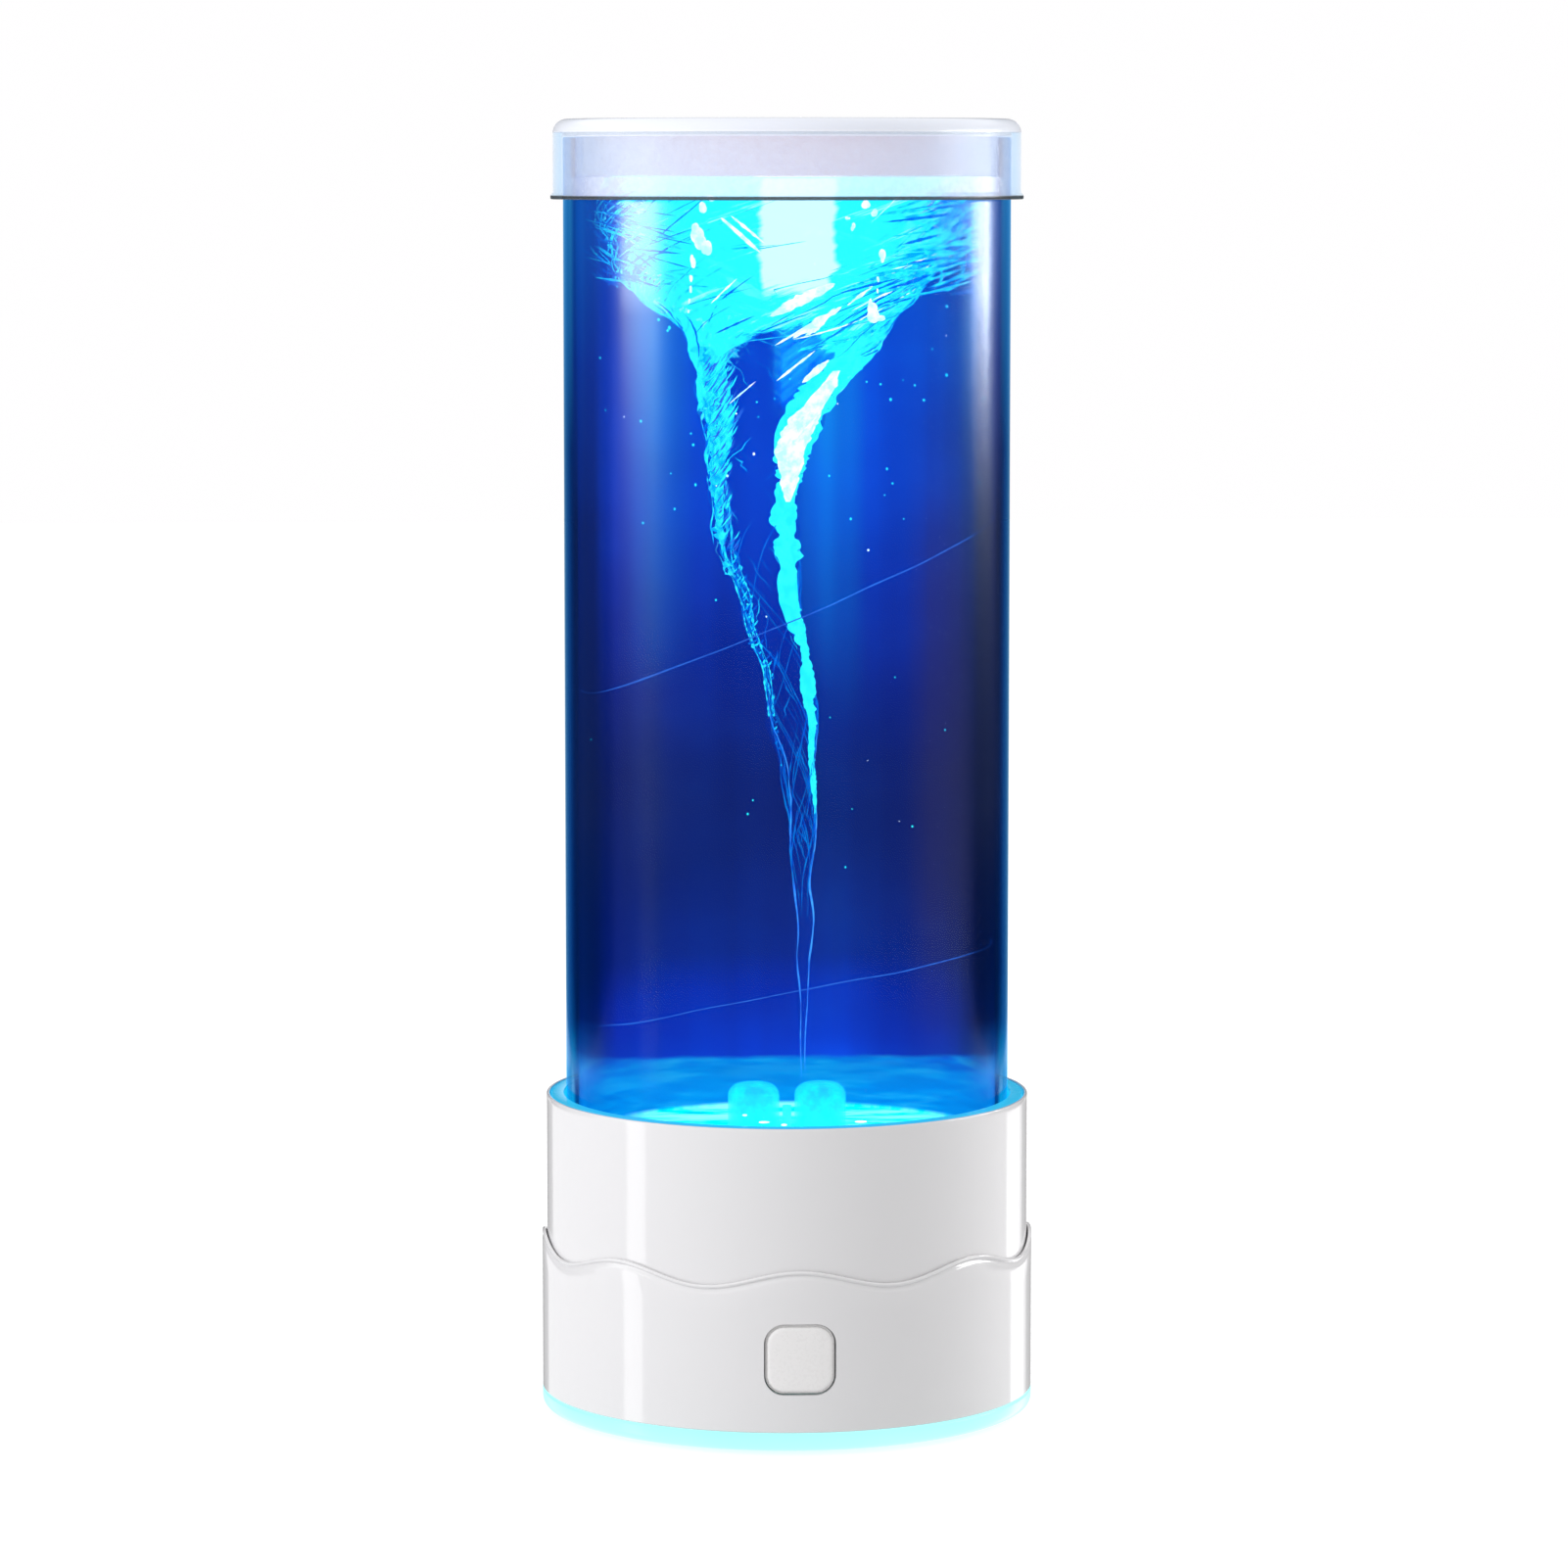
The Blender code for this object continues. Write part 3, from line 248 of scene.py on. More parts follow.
class Recipe(Graph):
    """One procedural material round a Principled shader."""

    def __init__(self, name, color, roughness, metallic=0, specular=0.5, ior=1.45):
        self.material = bpy.data.materials.new(name)
        self.material.use_nodes = True
        super().__init__(self.material.node_tree)
        for socket, value in (("Base Color", color), ("Roughness", roughness), ("Metallic", metallic),
                              ("Specular IOR Level", specular), ("IOR", ior)):
            self.set(socket, value)
        self.place = self.node("TexCoord", {}, "Object")

    def set(self, socket, value):
        self.feed(self.tree.nodes["Principled BSDF"].inputs[socket], value)

    def glow(self, color, strength):
        self.set("Emission Color", color)
        self.set("Emission Strength", strength)

    def absorb(self, color, density):
        inside = self.node("VolumeAbsorption", {"Color": color, "Density": density})
        self.feed(self.tree.nodes["Material Output"].inputs["Volume"], inside)

    def bump(self, height, distance):
        self.set("Normal", self.node("Bump", {
            "Height": height, "Distance": distance, "Strength": 1}, "Normal"))

    def axis(self, letter):
        """A coordinate in the frame's own metres, which every piece shares."""
        return self.node("SeparateXYZ", {"Vector": self.place}, letter)

    def facing(self):
        """0 where a surface faces the view, and 1 where it turns away."""
        return self.node("LayerWeight", {"Blend": 0.5}, "Facing")

    def spun(self, angle):
        """The place, turned about Z."""
        return self.node("VectorRotate", {"Vector": self.place, "Angle": angle}, "Vector",
                         rotation_type="Z_AXIS")

    def noise(self, scale, detail=3, rough=0.5, stretch=None, source=None):
        source = source or self.place
        if stretch:
            source = self.node("Mapping", {"Vector": source, "Scale": stretch}, "Vector")
        return self.node("TexNoise", {
            "Vector": source, "Scale": scale, "Detail": detail, "Roughness": rough}, "Fac")


def moulded(name, color, roughness, grain, depth, spread):
    """A moulded surface: fine grain, uneven gloss and a little colour drift."""
    look = Recipe(name, color, roughness)
    fine = look.noise(grain, 4)
    look.set("Base Color", look.noise(60, 2).mix(
        tuple(c * (1 - spread) for c in color), tuple(min(c * (1 + spread), 1) for c in color)))
    look.set("Roughness", fine.span(0.3, 0.7, roughness * 0.85, roughness * 1.2))
    look.bump(fine, depth)
    return look


def brushed(name, color, roughness, stretch):
    """Metal with fine lines that run across the stretched direction."""
    look = Recipe(name, color, roughness, metallic=1)
    lines = look.noise(4000, stretch=stretch)
    look.set("Roughness", lines.span(0.3, 0.7, roughness * 0.7, roughness * 1.4))
    look.set("Base Color", lines.mix(tuple(c * 0.85 for c in color), color))
    look.bump(lines, 0.01 * MM)
    return look


def make_lit_ring(name, low_color, high_color, low_z, high_z, strength):
    """A milky diffuser, lit from inside, whose light is uneven where its lamps sit."""
    look = Recipe(name, (0.05, 0.2, 0.22), 0.25)
    look.glow(look.axis("Z").span(low_z, high_z).mix(low_color, high_color),
              look.noise(28, 2).span(0.3, 0.7, strength * 0.88, strength))
    look.bump(look.noise(1500, 2), 0.01 * MM)
    return look


def make_spark(name, color, dim, strength, alpha=1):
    """Glowing froth and painted highlights: its colour shifts between two tones over a millimetre or so.
    """
    look = Recipe(name, DARK, 0.5, specular=0)
    look.glow(look.noise(420, 4, 0.6).span(0.38, 0.6).mix(dim, color), strength)
    look.set("Alpha", alpha)
    return look


def angles(count):
    return [TURN * k / count for k in range(count)]


def add_object(name, data):
    made = bpy.data.objects.new(name, data)
    bpy.context.scene.collection.objects.link(made)
    return made


def make_mesh(name, verts, faces):
    mesh = bpy.data.meshes.new(name)
    mesh.from_pydata([tuple(v) for v in verts], [], faces)
    return mesh


class Solid:
    """Vertices and faces that several closed shapes share."""

    def __init__(self):
        self.verts = []
        self.faces = []

    def join(self, rows, ends=False):
        """Faces from each row of points to the next, where a row of one point closes a fan.

        With ends, the first and last rows get a flat face. Else the last row joins the first.
        """
        sides = max(len(row) for row in rows)
        index = []
        for row in rows:
            start = len(self.verts)
            self.verts += row
            index.append(list(range(start, start + len(row))) * (sides // len(row)))
        if ends:
            self.faces.append(tuple(index[0]))
            if len(rows[-1]) > 1:
                self.faces.append(tuple(reversed(index[-1])))
        for i in range(len(rows) - 1 if ends else len(rows)):
            upper = index[i]
            lower = index[(i + 1) % len(rows)]
            if upper[0] == upper[-1] and lower[0] == lower[-1]:
                continue
            for k in range(sides):
                after = (k + 1) % sides
                corners = [upper[after], upper[k], lower[k], lower[after]]
                if not ends:
                    corners = corners[1:] + corners[:1]
                self.faces.append(tuple(dict.fromkeys(corners)))

    def lathe(self, profile, steps=ROUND, centre=(0, 0)):
        """Turn a closed profile of radius, height and a mark where it follows the wavy seam.

        It is listed so that its outside is on the left.
        """
        rows = []
        for radius, height, *waved in profile:
            row = []
            for a in angles(steps) if radius else [0]:
                lift = WAVE * cos(WAVES * (a + pi / 2)) if waved else 0
                row.append(Vector((centre[0] + radius * cos(a), centre[1] + radius * sin(a),
                                   height + lift)))
            rows.append(row)
        self.join(rows)

    def thread(self, steps, rule, sides=5):
        """A thread with a tip at both ends. Its rule gives point and radius by share of length."""
        points, radii = zip(*[rule(i / steps) for i in range(steps + 1)])
        rows = [[points[0]]]
        for i in range(1, steps):
            ahead = (points[i + 1] - points[i - 1]).normalized()
            side = ahead.cross(Vector((0.31, 0.92, 0.24))).normalized()
            other = ahead.cross(side)
            rows.append([points[i] + radii[i] * (cos(a) * side + sin(a) * other)
                         for a in angles(sides)])
        self.join(rows + [[points[-1]]])

    def ball(self, middle, size, rings=6, sides=8):
        """A ball or drop, with its own width, depth and height."""
        rows = []
        for i in range(rings + 1):
            fall = pi * i / rings
            rows.append([middle + Vector((size[0] * sin(fall) * cos(a),
                                          size[1] * sin(fall) * sin(a),
                                          size[2] * cos(fall)))
                         for a in (angles(sides) if 0 < i < rings else [0])])
        self.join(rows)

    def make(self, name, looks, body, replaced=(), sharp=40):
        """A piece that rides on a body and may stand for CAD nodes."""
        mesh = make_mesh(name, self.verts, self.faces)
        mesh.validate()
        for look in looks:
            mesh.materials.append(look.material)
        mesh.shade_smooth()
        mesh.set_sharp_from_angle(angle=radians(sharp))
        piece = add_object(name, mesh)
        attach(piece, body)
        if replaced:
            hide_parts(*replaced)
        return piece

    def froth(self, name, look, sharp=40):
        self.make(name, [look], "base", sharp=sharp)


def turned(name, look, profile, body, replaced, steps=ROUND, centre=(0, 0), sharp=40):
    """A piece turned from one profile, in place of one CAD node."""
    solid = Solid()
    solid.lathe(profile, steps, centre)
    return solid.make(name, [look], body, [replaced], sharp)


def cut(piece, front, rear):
    """Cut the prism between two outlines out of a piece."""
    prism = Solid()
    prism.join([front, rear], ends=True)
    cutter = add_object("cutter", make_mesh("cutter", prism.verts, prism.faces))
    boolean = piece.modifiers.new("cut", "BOOLEAN")
    boolean.operation = "DIFFERENCE"
    boolean.solver = "EXACT"
    boolean.object = cutter
    graph = bpy.context.evaluated_depsgraph_get()
    made = bpy.data.meshes.new_from_object(piece.evaluated_get(graph))
    piece.modifiers.clear()
    piece.data = made
    bpy.data.objects.remove(cutter, do_unlink=True)


def arc(across, height, size, start, end, steps=8):
    """Points of a round corner about a centre, from start to end degrees."""
    points = []
    for i in range(steps + 1):
        angle = radians(start + (end - start) * i / steps)
        points.append((across + size * cos(angle), height + size * sin(angle)))
    return points


def round_top(r, z, size, steps=4):
    """A round outer edge of a profile, from its top face down to its side."""
    return arc(r - size, z - size, size, 90, 0, steps)


def round_foot(r, z, size, steps=4):
    """A round outer edge of a profile, from its side down to its foot."""
    return arc(r - size, z + size, size, 0, -90, steps)


def circle(size, count):
    return [(size * cos(a), size * sin(a)) for a in angles(count)]


def rounded_square(half, corner):
    """Points round a square with round corners, across and up, counted from the right."""
    points = []
    for x, z, start in ((1, 1, 0), (-1, 1, 90), (-1, -1, 180), (1, -1, 270)):
        points += arc(x * (half - corner), z * (half - corner), corner, start, start + 90, 10)
    return points


def upright(outline, y, z):
    """An outline of across and up, stood at a depth y and about a height z."""
    return [Vector((across, y, z + up)) for across, up in outline]


# Materials of the outside
DARK = (0, 0, 0)
WHITE = moulded("white_gloss", (0.8, 0.795, 0.8), 0.1, 900, 0.004 * MM, 0.008)
WHITE.set("Coat Weight", 0.25)
WHITE.set("Coat Roughness", 0.04)
BUTTON = moulded("button_satin", (0.89, 0.88, 0.87), 0.28, 1400, 0.005 * MM, 0.01)
GLOW_RING = make_lit_ring("glow_diffuser", (0.52, 0.98, 0.96), (0.36, 0.96, 0.93), glow_low.z,
                          glow_high.z, 1)
COLLAR = make_lit_ring("collar_diffuser", (0, 0.33, 0.68), (0.01, 0.42, 0.74), collar_low.z,
                       collar_high.z, 0.95)
RUBBER = moulded("foot_rubber_black", (0.05, 0.05, 0.05), 0.75, 1800, 0.03 * MM, 0.15)
SEAL = moulded("seal_silicone", (0.62, 0.64, 0.66), 0.55, 1200, 0.02 * MM, 0.05)
CHASSIS = moulded("chassis_grey", (0.52, 0.53, 0.55), 0.45, 800, 0.02 * MM, 0.05)
BLACK = moulded("moulded_black", (0.02, 0.02, 0.022), 0.4, 1500, 0.02 * MM, 0.2)
WIRE = moulded("wire_sleeve", (0.48, 0.03, 0.03), 0.45, 1200, 0.01 * MM, 0.08)
STEEL = brushed("plated_steel", (0.56, 0.57, 0.58), 0.28, (1, 1, 0.1))
SCREW_ZINC = brushed("screw_zinc", (0.6, 0.6, 0.62), 0.3, (1, 0.1, 1))
NICKEL = brushed("magnet_plate", (0.66, 0.64, 0.6), 0.2, (0.1, 1, 1))

# Clear plastic with a light frost and a milky roof. It glows faintly, which is painted light, with a
# painted dark line of shade along its rim and a darker unlit line along its top edge
CAP_CLEAR = look = Recipe("cap_frost", (0.86, 0.89, 0.96), 0.22)
z = look.axis("Z")
haze = look.noise(700)
roof = z.span(plug_high.z - 0.2 * MM, plug_high.z + 0.1 * MM)
below_plug = z.span(plug_low.z - 0.2 * MM, plug_low.z + 0.2 * MM, 0.14, 0)
middle = look.math("ABSOLUTE", look.axis("X")).span(43 * MM, 38 * MM, smooth=True)
body = haze.span(0.3, 0.7, 0.21, 0.27) + below_plug * middle
# The rim's lowest band is dark grey, dense and unlit: a painted line of shade
rim = z.span(cap_low.z + 0.65 * MM, cap_low.z + 0.85 * MM)
look.set("Alpha", body | roof * 0.9 | (1 - rim) * 0.8)
look.set("Base Color", rim.mix((0.07, 0.08, 0.08), roof.mix((0.86, 0.89, 0.96), (0.78, 0.79, 0.83))))
# No glow along the top edge, which paints a darker line there
top = z.span(cap_high.z - 0.3 * MM, cap_high.z - 0.05 * MM)
glow = top.mix(roof.mix((0.88, 0.92, 0.99), (0.52, 0.54, 0.58)), DARK)
look.glow(rim.mix(DARK, glow), 0.36)
look.absorb((0, 0.55, 0.88), 26)
look.bump(haze, 0.003 * MM)

# The stopper glows, which is painted light: warm where it is seen through the blue tube, and grey above
# the tube's mouth
PLUG = look = moulded("plug_lavender", (0.86, 0.72, 0.68), 0.38, 500, 0.01 * MM, 0.02)
above = look.axis("Z").span(tube_high.z - 0.1 * MM, tube_high.z + 0.1 * MM)
look.glow(above.mix((1, 0.4, 0.32), (0.45, 0.45, 0.5)), 0.78)

# Clear acrylic: thin gloss outside, and a blue tint that grows with the path through it. Its dark sides
# are painted shade, and its glow is painted light
ACRYLIC = look = Recipe("acrylic_wall", (0, 0.0008, 0.006), 0.2, specular=0.3, ior=1.49)
facing = look.facing()
z = look.axis("Z")
# More opaque and near black where the wall turns away from the view: painted shade along the tube's sides
cover = facing.ramp((0, 0.08), (0.42, 0.1), (0.53, 0.42), (0.6, 0.74), (0.7, 0.66), (0.78, 0.3),
                    (1, 0.22))
rim = facing.span(0.68, 0.78, smooth=True)
below_plug = z.span(plug_low.z - 0.3 * MM, plug_low.z + 0.3 * MM, 1, 0.15)
above_layer = z.span(67 * MM, 75 * MM, 0.18, 1, smooth=True)
look.set("Alpha", cover * (below_plug | rim) * (above_layer | rim))
# Painted light: a glow caught where the wall turns away, and a dim glow elsewhere, both brighter near its
# foot and its top
height = z.span(upper_high.z, tube_high.z)
glow = height.ramp((0, (0, 0.34, 0.6)), (0.04, (0, 0.22, 0.38)), (0.08, (0, 0.03, 0.08)),
                   (0.14, (0, 0.006, 0.03)), (0.68, (0, 0.006, 0.03)), (0.8, (0.006, 0.08, 0.18)),
                   (1, (0.016, 0.18, 0.36)))
deep = height.ramp((0, (0, 0.16, 0.4)), (0.03, (0, 0.13, 0.36)), (0.055, (0, 0.02, 0.1)),
                   (0.09, (0, 0.002, 0.014)), (0.6, (0, 0.002, 0.014)),
                   (0.77, (0, 0.009, 0.085)), (0.91, (0, 0.03, 0.15)))
look.glow(rim.mix(deep, glow), 2.4)
look.set("Roughness", z.span(85 * MM, 125 * MM, 0.08, 0.2))
look.absorb((0, 0.5, 0.775), 260)

# Circuit boards and their lamps
BOARD = look = Recipe("solder_mask", (0.02, 0.22, 0.09), 0.35)
tracks = look.node("TexBrick", {
    "Vector": look.place, "Scale": 260, "Mortar Size": 0.03, "Color1": (0.015, 0.18, 0.07),
    "Color2": (0.02, 0.24, 0.1), "Mortar": (0.05, 0.36, 0.16)}, "Color")
look.set("Base Color", tracks)
look.bump(Field(look, tracks.socket.node.outputs["Fac"]), 0.03 * MM)
LED = look = Recipe("led_lens", (0.85, 0.82, 0.55), 0.2)
look.glow(look.noise(900, 2).mix((0.1, 0.6, 0.9), (0.3, 0.9, 1)), 1.5)

# The tank's clear floor, with the lamps' light spread under it
TANK_FLOOR = look = Recipe("tank_floor_lit", (0, 0.1, 0.15), 0.3)
spread = look.noise(60, 4, 0.6)
look.glow(spread.ramp((0.35, srgb(0, 190, 255)), (0.5, srgb(20, 235, 250)),
                      (0.65, srgb(120, 255, 255))), 1.6)
look.bump(spread, 0.05 * MM)

# Materials of the water
TILT = 0.152                # slope of the lit layer's top, towards +Y
CYAN = make_spark("froth_cyan", (0.03, 1, 1), (0, 0.42, 0.95), 2.8)
SOLID_CYAN = make_spark("froth_bright_and_painted_crest", (0.04, 1, 1), (0.02, 0.85, 1), 2.9)
SOFT_BLUE = make_spark("froth_blue", (0, 0.35, 1), (0, 0.12, 0.8), 1.7, 0.8)
PALE = make_spark("froth_white_and_painted_highlights", (1, 0.85, 0.8), (0.5, 0.85, 0.85), 4.2)
LINE = make_spark("swirl_line", (0.06, 0.26, 0.95), (0.04, 0.16, 0.75), 1.6)
TAIL = make_spark("tail_blue", (0.08, 0.42, 1), (0.03, 0.22, 0.95), 2.6)
PIN = make_spark("pin_in_the_light", (0.05, 1, 1), (0.03, 0.85, 1), 2.2)

# Deep blue water: half see-through from outside, and solid where seen from inside. Its glow paints the
# light and shade in it
SKIN = look = Recipe("water_blue", DARK, 0.6, specular=0)
x, y, z = (look.axis(letter) for letter in "XYZ")
height = z.span(water_low.z, level_z)
# Painted light by height: brighter near the lit foot and near the level, dimmer in the middle
color = height.ramp(
    (0, srgb(18, 80, 235)), (0.127, srgb(17, 56, 205)), (0.168, srgb(18, 49, 156)),
    (0.271, srgb(22, 43, 128)), (0.373, srgb(22, 40, 120)), (0.476, srgb(20, 45, 152)),
    (0.578, srgb(20, 60, 190)), (0.676, srgb(18, 78, 222)), (0.768, srgb(16, 82, 225)),
    (0.881, srgb(12, 84, 222)), (0.953, srgb(10, 110, 232)), (1, srgb(20, 140, 240)))
around = look.math("MULTIPLY_ADD", look.math("ARCTAN2", y, x), 1 / TURN, 0.5)
# Painted shade and reflection by the angle round the axis: darker towards the left and right sides,
# reddish painted reflections on the right, and lighter bands
color = color.tint(around.ramp(
    (0, (0.75, 0.7, 0.78)), (0.085, (0.7, 0.85, 0.95)), (0.12, (0.95, 0.95, 0.92)),
    (0.152, (0.85, 0.9, 0.92)), (0.186, (1, 1.12, 1.05)), (0.25, 1),
    (0.268, (1, 1.25, 1.1)), (0.285, (1, 1.6, 1.25)), (0.302, (1, 1.2, 1.05)),
    (0.325, (1.1, 1, 1.05)), (0.37, (1.9, 1.1, 1)), (0.411, (3, 1.1, 0.52)),
    (0.445, (1.5, 0.65, 0.36)), (0.478, (0.4, 0.4, 0.42)), (0.5, (0.45, 0.45, 0.5)),
    (0.54, (1.2, 0.6, 0.42)), (0.575, (2.4, 0.95, 0.5)), (0.61, (1.8, 1, 0.72)),
    (0.65, (1.1, 1.05, 0.92)), (0.69, (1, 1.1, 1.05)),
    (0.715, (1, 1.5, 1.25)), (0.74, (1, 1.05, 1)), (0.8, (1, 1.12, 1.05)),
    (0.85, (0.85, 0.9, 0.92)), (0.915, (0.78, 0.72, 0.8)), (1, (0.75, 0.7, 0.78))))
columns = look.noise(95, stretch=(1, 1, 0.03))
color = color.tint(columns.ramp((0.3, (0.72, 0.72, 0.8)), (0.5, 1), (0.7, (1.15, 1.3, 1.2))))
clouds = look.noise(30, 4, stretch=(1, 1, 1.8), source=look.spun(z * 9))
color = color.tint(clouds.ramp((0.3, (0.78, 0.8, 0.85)), (0.55, 1), (0.75, (1.2, 1.35, 1.15))))
# Painted light: narrow bright columns at a few angles, over the middle and upper heights
beam = around.ramp((0.262, 0), (0.272, 0.8), (0.29, 1), (0.302, 0), (0.698, 0), (0.712, 0.9),
                   (0.728, 0.8), (0.738, 0), (0.815, 0), (0.855, 1), (0.885, 0))
tall = height.ramp((0.45, 0), (0.58, 0.28), (0.68, 0.42), (0.76, 0.75), (0.84, 0.8), (0.92, 0))
color = (beam * tall).mix(color, srgb(28, 182, 255))
# A dark brownish painted reflection on the front right, from low down to above the middle
painted_brown_reflection = around.ramp((0.335, 0), (0.36, 0.75), (0.4, 1), (0.425, 0.55), (0.445, 0))
painted_brown_reflection *= height.ramp((0.1, 0), (0.18, 0.6), (0.25, 0.9), (0.6, 0.9), (0.7, 0.3), (0.8, 0))
color = painted_brown_reflection.mix(color, (0.1, 0.06, 0.155))
# Painted light of the lamps below: a lit layer at the water's foot, brighter just above the tank's floor
layer = look.noise(60, 5, 0.6, (1, 1, 10)).ramp(
    (0.34, srgb(0, 70, 215)), (0.46, srgb(10, 112, 238)), (0.54, srgb(0, 155, 248)),
    (0.68, srgb(70, 215, 255)))
low_glow = z.span(floor_high.z + 8 * MM, floor_high.z + 14 * MM, 0.6, 0, smooth=True)
layer = low_glow.mix(layer, srgb(0, 185, 250))
# A brighter painted pool of light where the water meets the tank's floor, with painted shade towards its
# sides
ground = look.noise(70, 5, 0.6, (0.6, 2.2, 1)).ramp(
    (0.34, srgb(0, 185, 250)), (0.44, srgb(0, 240, 255)), (0.58, srgb(150, 255, 255)))
shade = x.span(-24 * MM, -38 * MM, smooth=True) | x.span(31 * MM, 41 * MM, smooth=True)
on_ground = z.span(water_low.z + 0.2 * MM, water_low.z + 1 * MM, 1, 0) * (1 - shade)
ripple = look.noise(120, 2, stretch=(1, 1, 0.2))
edge = look.math("MULTIPLY_ADD", ripple, 1.2 * MM, look.math("MULTIPLY_ADD", y, TILT, z))
lit = edge.span(tip_z + 2.6 * MM, tip_z + 3.5 * MM, 1, 0)
look.glow(lit.mix(color, on_ground.mix(layer, ground)), on_ground.span(0, 1, 1.2, 2.3))
behind = look.node("NewGeometry", {}, "Backfacing")
look.set("Alpha", behind | 0.4 - lit * 0.24)

# The funnel's surface: dark and clear low down, and a bright broken sheet above, with painted highlights
# and sheen
FILM = look = Recipe("funnel_film", DARK, 0.4, specular=0)
x, y, z = (look.axis(letter) for letter in "XYZ")
swirled = look.spun(z * -TWIST)
fine = look.noise(560, 4, 0.6, (1, 1, 0.1), swirled)
broad = look.noise(150, stretch=(1, 1, 0.25), source=swirled)
texture = fine * 0.55 + broad * 0.45
around = look.math("ARCTAN2", y, x)
front = look.math("COSINE", look.math("MULTIPLY_ADD", around, 2, 2 * radians(93)))
above = (z - front.span(-1, 1, 203 * MM, 221 * MM)).span(-4 * MM, 5 * MM, smooth=True)
thin = z.span(221 * MM, 233 * MM, smooth=True) * front.span(0.35, -0.75, smooth=True)
mask = (texture + above * 0.34 - thin * 0.24).span(0.62, 0.7, smooth=True)
# Three pale windows round the funnel's upper part: painted highlights
thirds = look.math("MULTIPLY_ADD", around, 3 / TURN, 3 * (0.25 - radians(0.5) / TURN) + 0.5)
inside = look.math("ABSOLUTE", look.math("FRACT", thirds) - 0.5) + (broad - 0.5) * 0.05
low_edge = look.math("MULTIPLY_ADD", fine, -9 * MM, z)
pale = inside.span(0.108, 0.09, smooth=True) * low_edge.span(222 * MM, 225 * MM, smooth=True)
bright = texture.span(0.57, 0.64, smooth=True) * z.span(205 * MM, 225 * MM, 0.2, 0.7)
color = pale.mix(bright.mix((0.03, 1, 1), (0.6, 1, 1)), (0.72, 0.95, 0.9))
# A painted sheen right of the funnel's middle, above about 205 millimetres, lighter and brighter
shine = x.span(-3.5 * MM, -1.5 * MM) * z.span(200 * MM, 207 * MM, smooth=True)
low = shine.mix(srgb(12, 70, 225), texture.span(0.42, 0.56).mix((0, 0.16, 1), (0.02, 0.6, 1)))
# Painted light: lighter close above the tip, next to the lit layer
low = z.span(tip_z + 9 * MM, tip_z + 3 * MM).mix(low, (0.01, 0.36, 1))
look.glow(mask.mix(low, color), (mask.span(0, 1, 1, 2.7) | shine * 2) + pale)
look.set("Alpha", z.span(150 * MM, 215 * MM, 0.16, 0.45) | (mask * 0.94 | shine * 0.75))

# The impeller's frosted plastic, lit from below
LUG = look = Recipe("frosted_lug", (0.1, 0.35, 0.4), 0.55)
frost = look.noise(800, 4)
turned_away = look.facing()
core = look.axis("Z").span(impeller_low.z, impeller_high.z).mix((0.02, 1, 1), (0.02, 0.42, 0.95))
core = look.noise(230, 4, 0.6).span(0.42, 0.62).mix(core, (0.01, 0.85, 1))
look.glow(turned_away.span(0.25, 0.75).mix(core, (0.02, 0.7, 1)), frost.span(0.3, 0.7, 1.6, 2.1))
look.set("Alpha", turned_away.span(0.3, 0.92, 0.84, 0.15))
look.bump(frost, 0.03 * MM)

# Every CAD node that stays gets the procedural material of its slot
by_slot = {
    "white_plastic": WHITE, "clear_acrylic": TANK_FLOOR, "seal_rubber": SEAL, "foot_rubber": RUBBER,
    "chassis_plastic": CHASSIS, "circuit_board": BOARD, "led_package": LED, "motor_steel": STEEL,
    "magnet_nickel": NICKEL, "screw_steel": SCREW_ZINC, "switch_black": BLACK, "wire_red": WIRE,
    "lit_cyan": GLOW_RING, "button_plastic": BUTTON, "frosted_clear": CAP_CLEAR,
    "plug_white": PLUG, "blue_water": SKIN, "impeller_frost": COLLAR,
}
for row in frame["record"]["subparts"]:
    materials = frame["nodes"][row["node"]].data.materials
    materials.clear()
    materials.append(by_slot[row["material_slot"]].material)
frame["nodes"]["impeller_pin"].data.materials[0] = PIN.material

# The tube's clear wall
inner = tube_r - 2.5 * MM
lip = 0.4 * MM
profile = round_top(tube_r, tube_high.z, lip, 3)
profile += [(tube_r, tube_high.z + (tube_low.z - tube_high.z) * i / 6) for i in range(1, 7)]
profile += [(inner, tube_low.z), (inner, tube_high.z)]
turned("tube_wall", ACRYLIC, profile, "base", "tube")

# The clear cap with a rounded top edge, a short skirt and a proud rim, and its plug
wall_r = cap_r - 0.5 * MM
corner = 2.8 * MM
rim_top = cap_low.z + 1.2 * MM
skirt_in = tube_r + GAP
ceiling = plug_high.z + GAP
profile = [(0, cap_high.z), (wall_r * 0.5, cap_high.z)]
profile += round_top(wall_r, cap_high.z, corner, 12)
profile += [(wall_r, rim_top + 0.4 * MM)]
profile += arc(wall_r + 0.5 * MM, rim_top + 0.4 * MM, 0.5 * MM, 180, 225, 3)[1:]
profile += arc(cap_r - 0.4 * MM, rim_top - 0.5 * MM, 0.4 * MM, 60, 0, 4)
profile += round_foot(cap_r, cap_low.z, 0.25 * MM, 3)
profile += [(skirt_in, cap_low.z), (skirt_in, ceiling - 0.6 * MM), (skirt_in - 0.6 * MM, ceiling),
            (0, ceiling)]
turned("cap_shell", CAP_CLEAR, profile, "cap", "top_cap")
edge = 0.5 * MM
r = plug_high.x
profile = [(0, plug_high.z)] + round_top(r, plug_high.z, edge)
profile += round_foot(r, plug_low.z, edge) + [(0, plug_low.z)]
turned("plug_disc", PLUG, profile, "cap", "cap_plug")

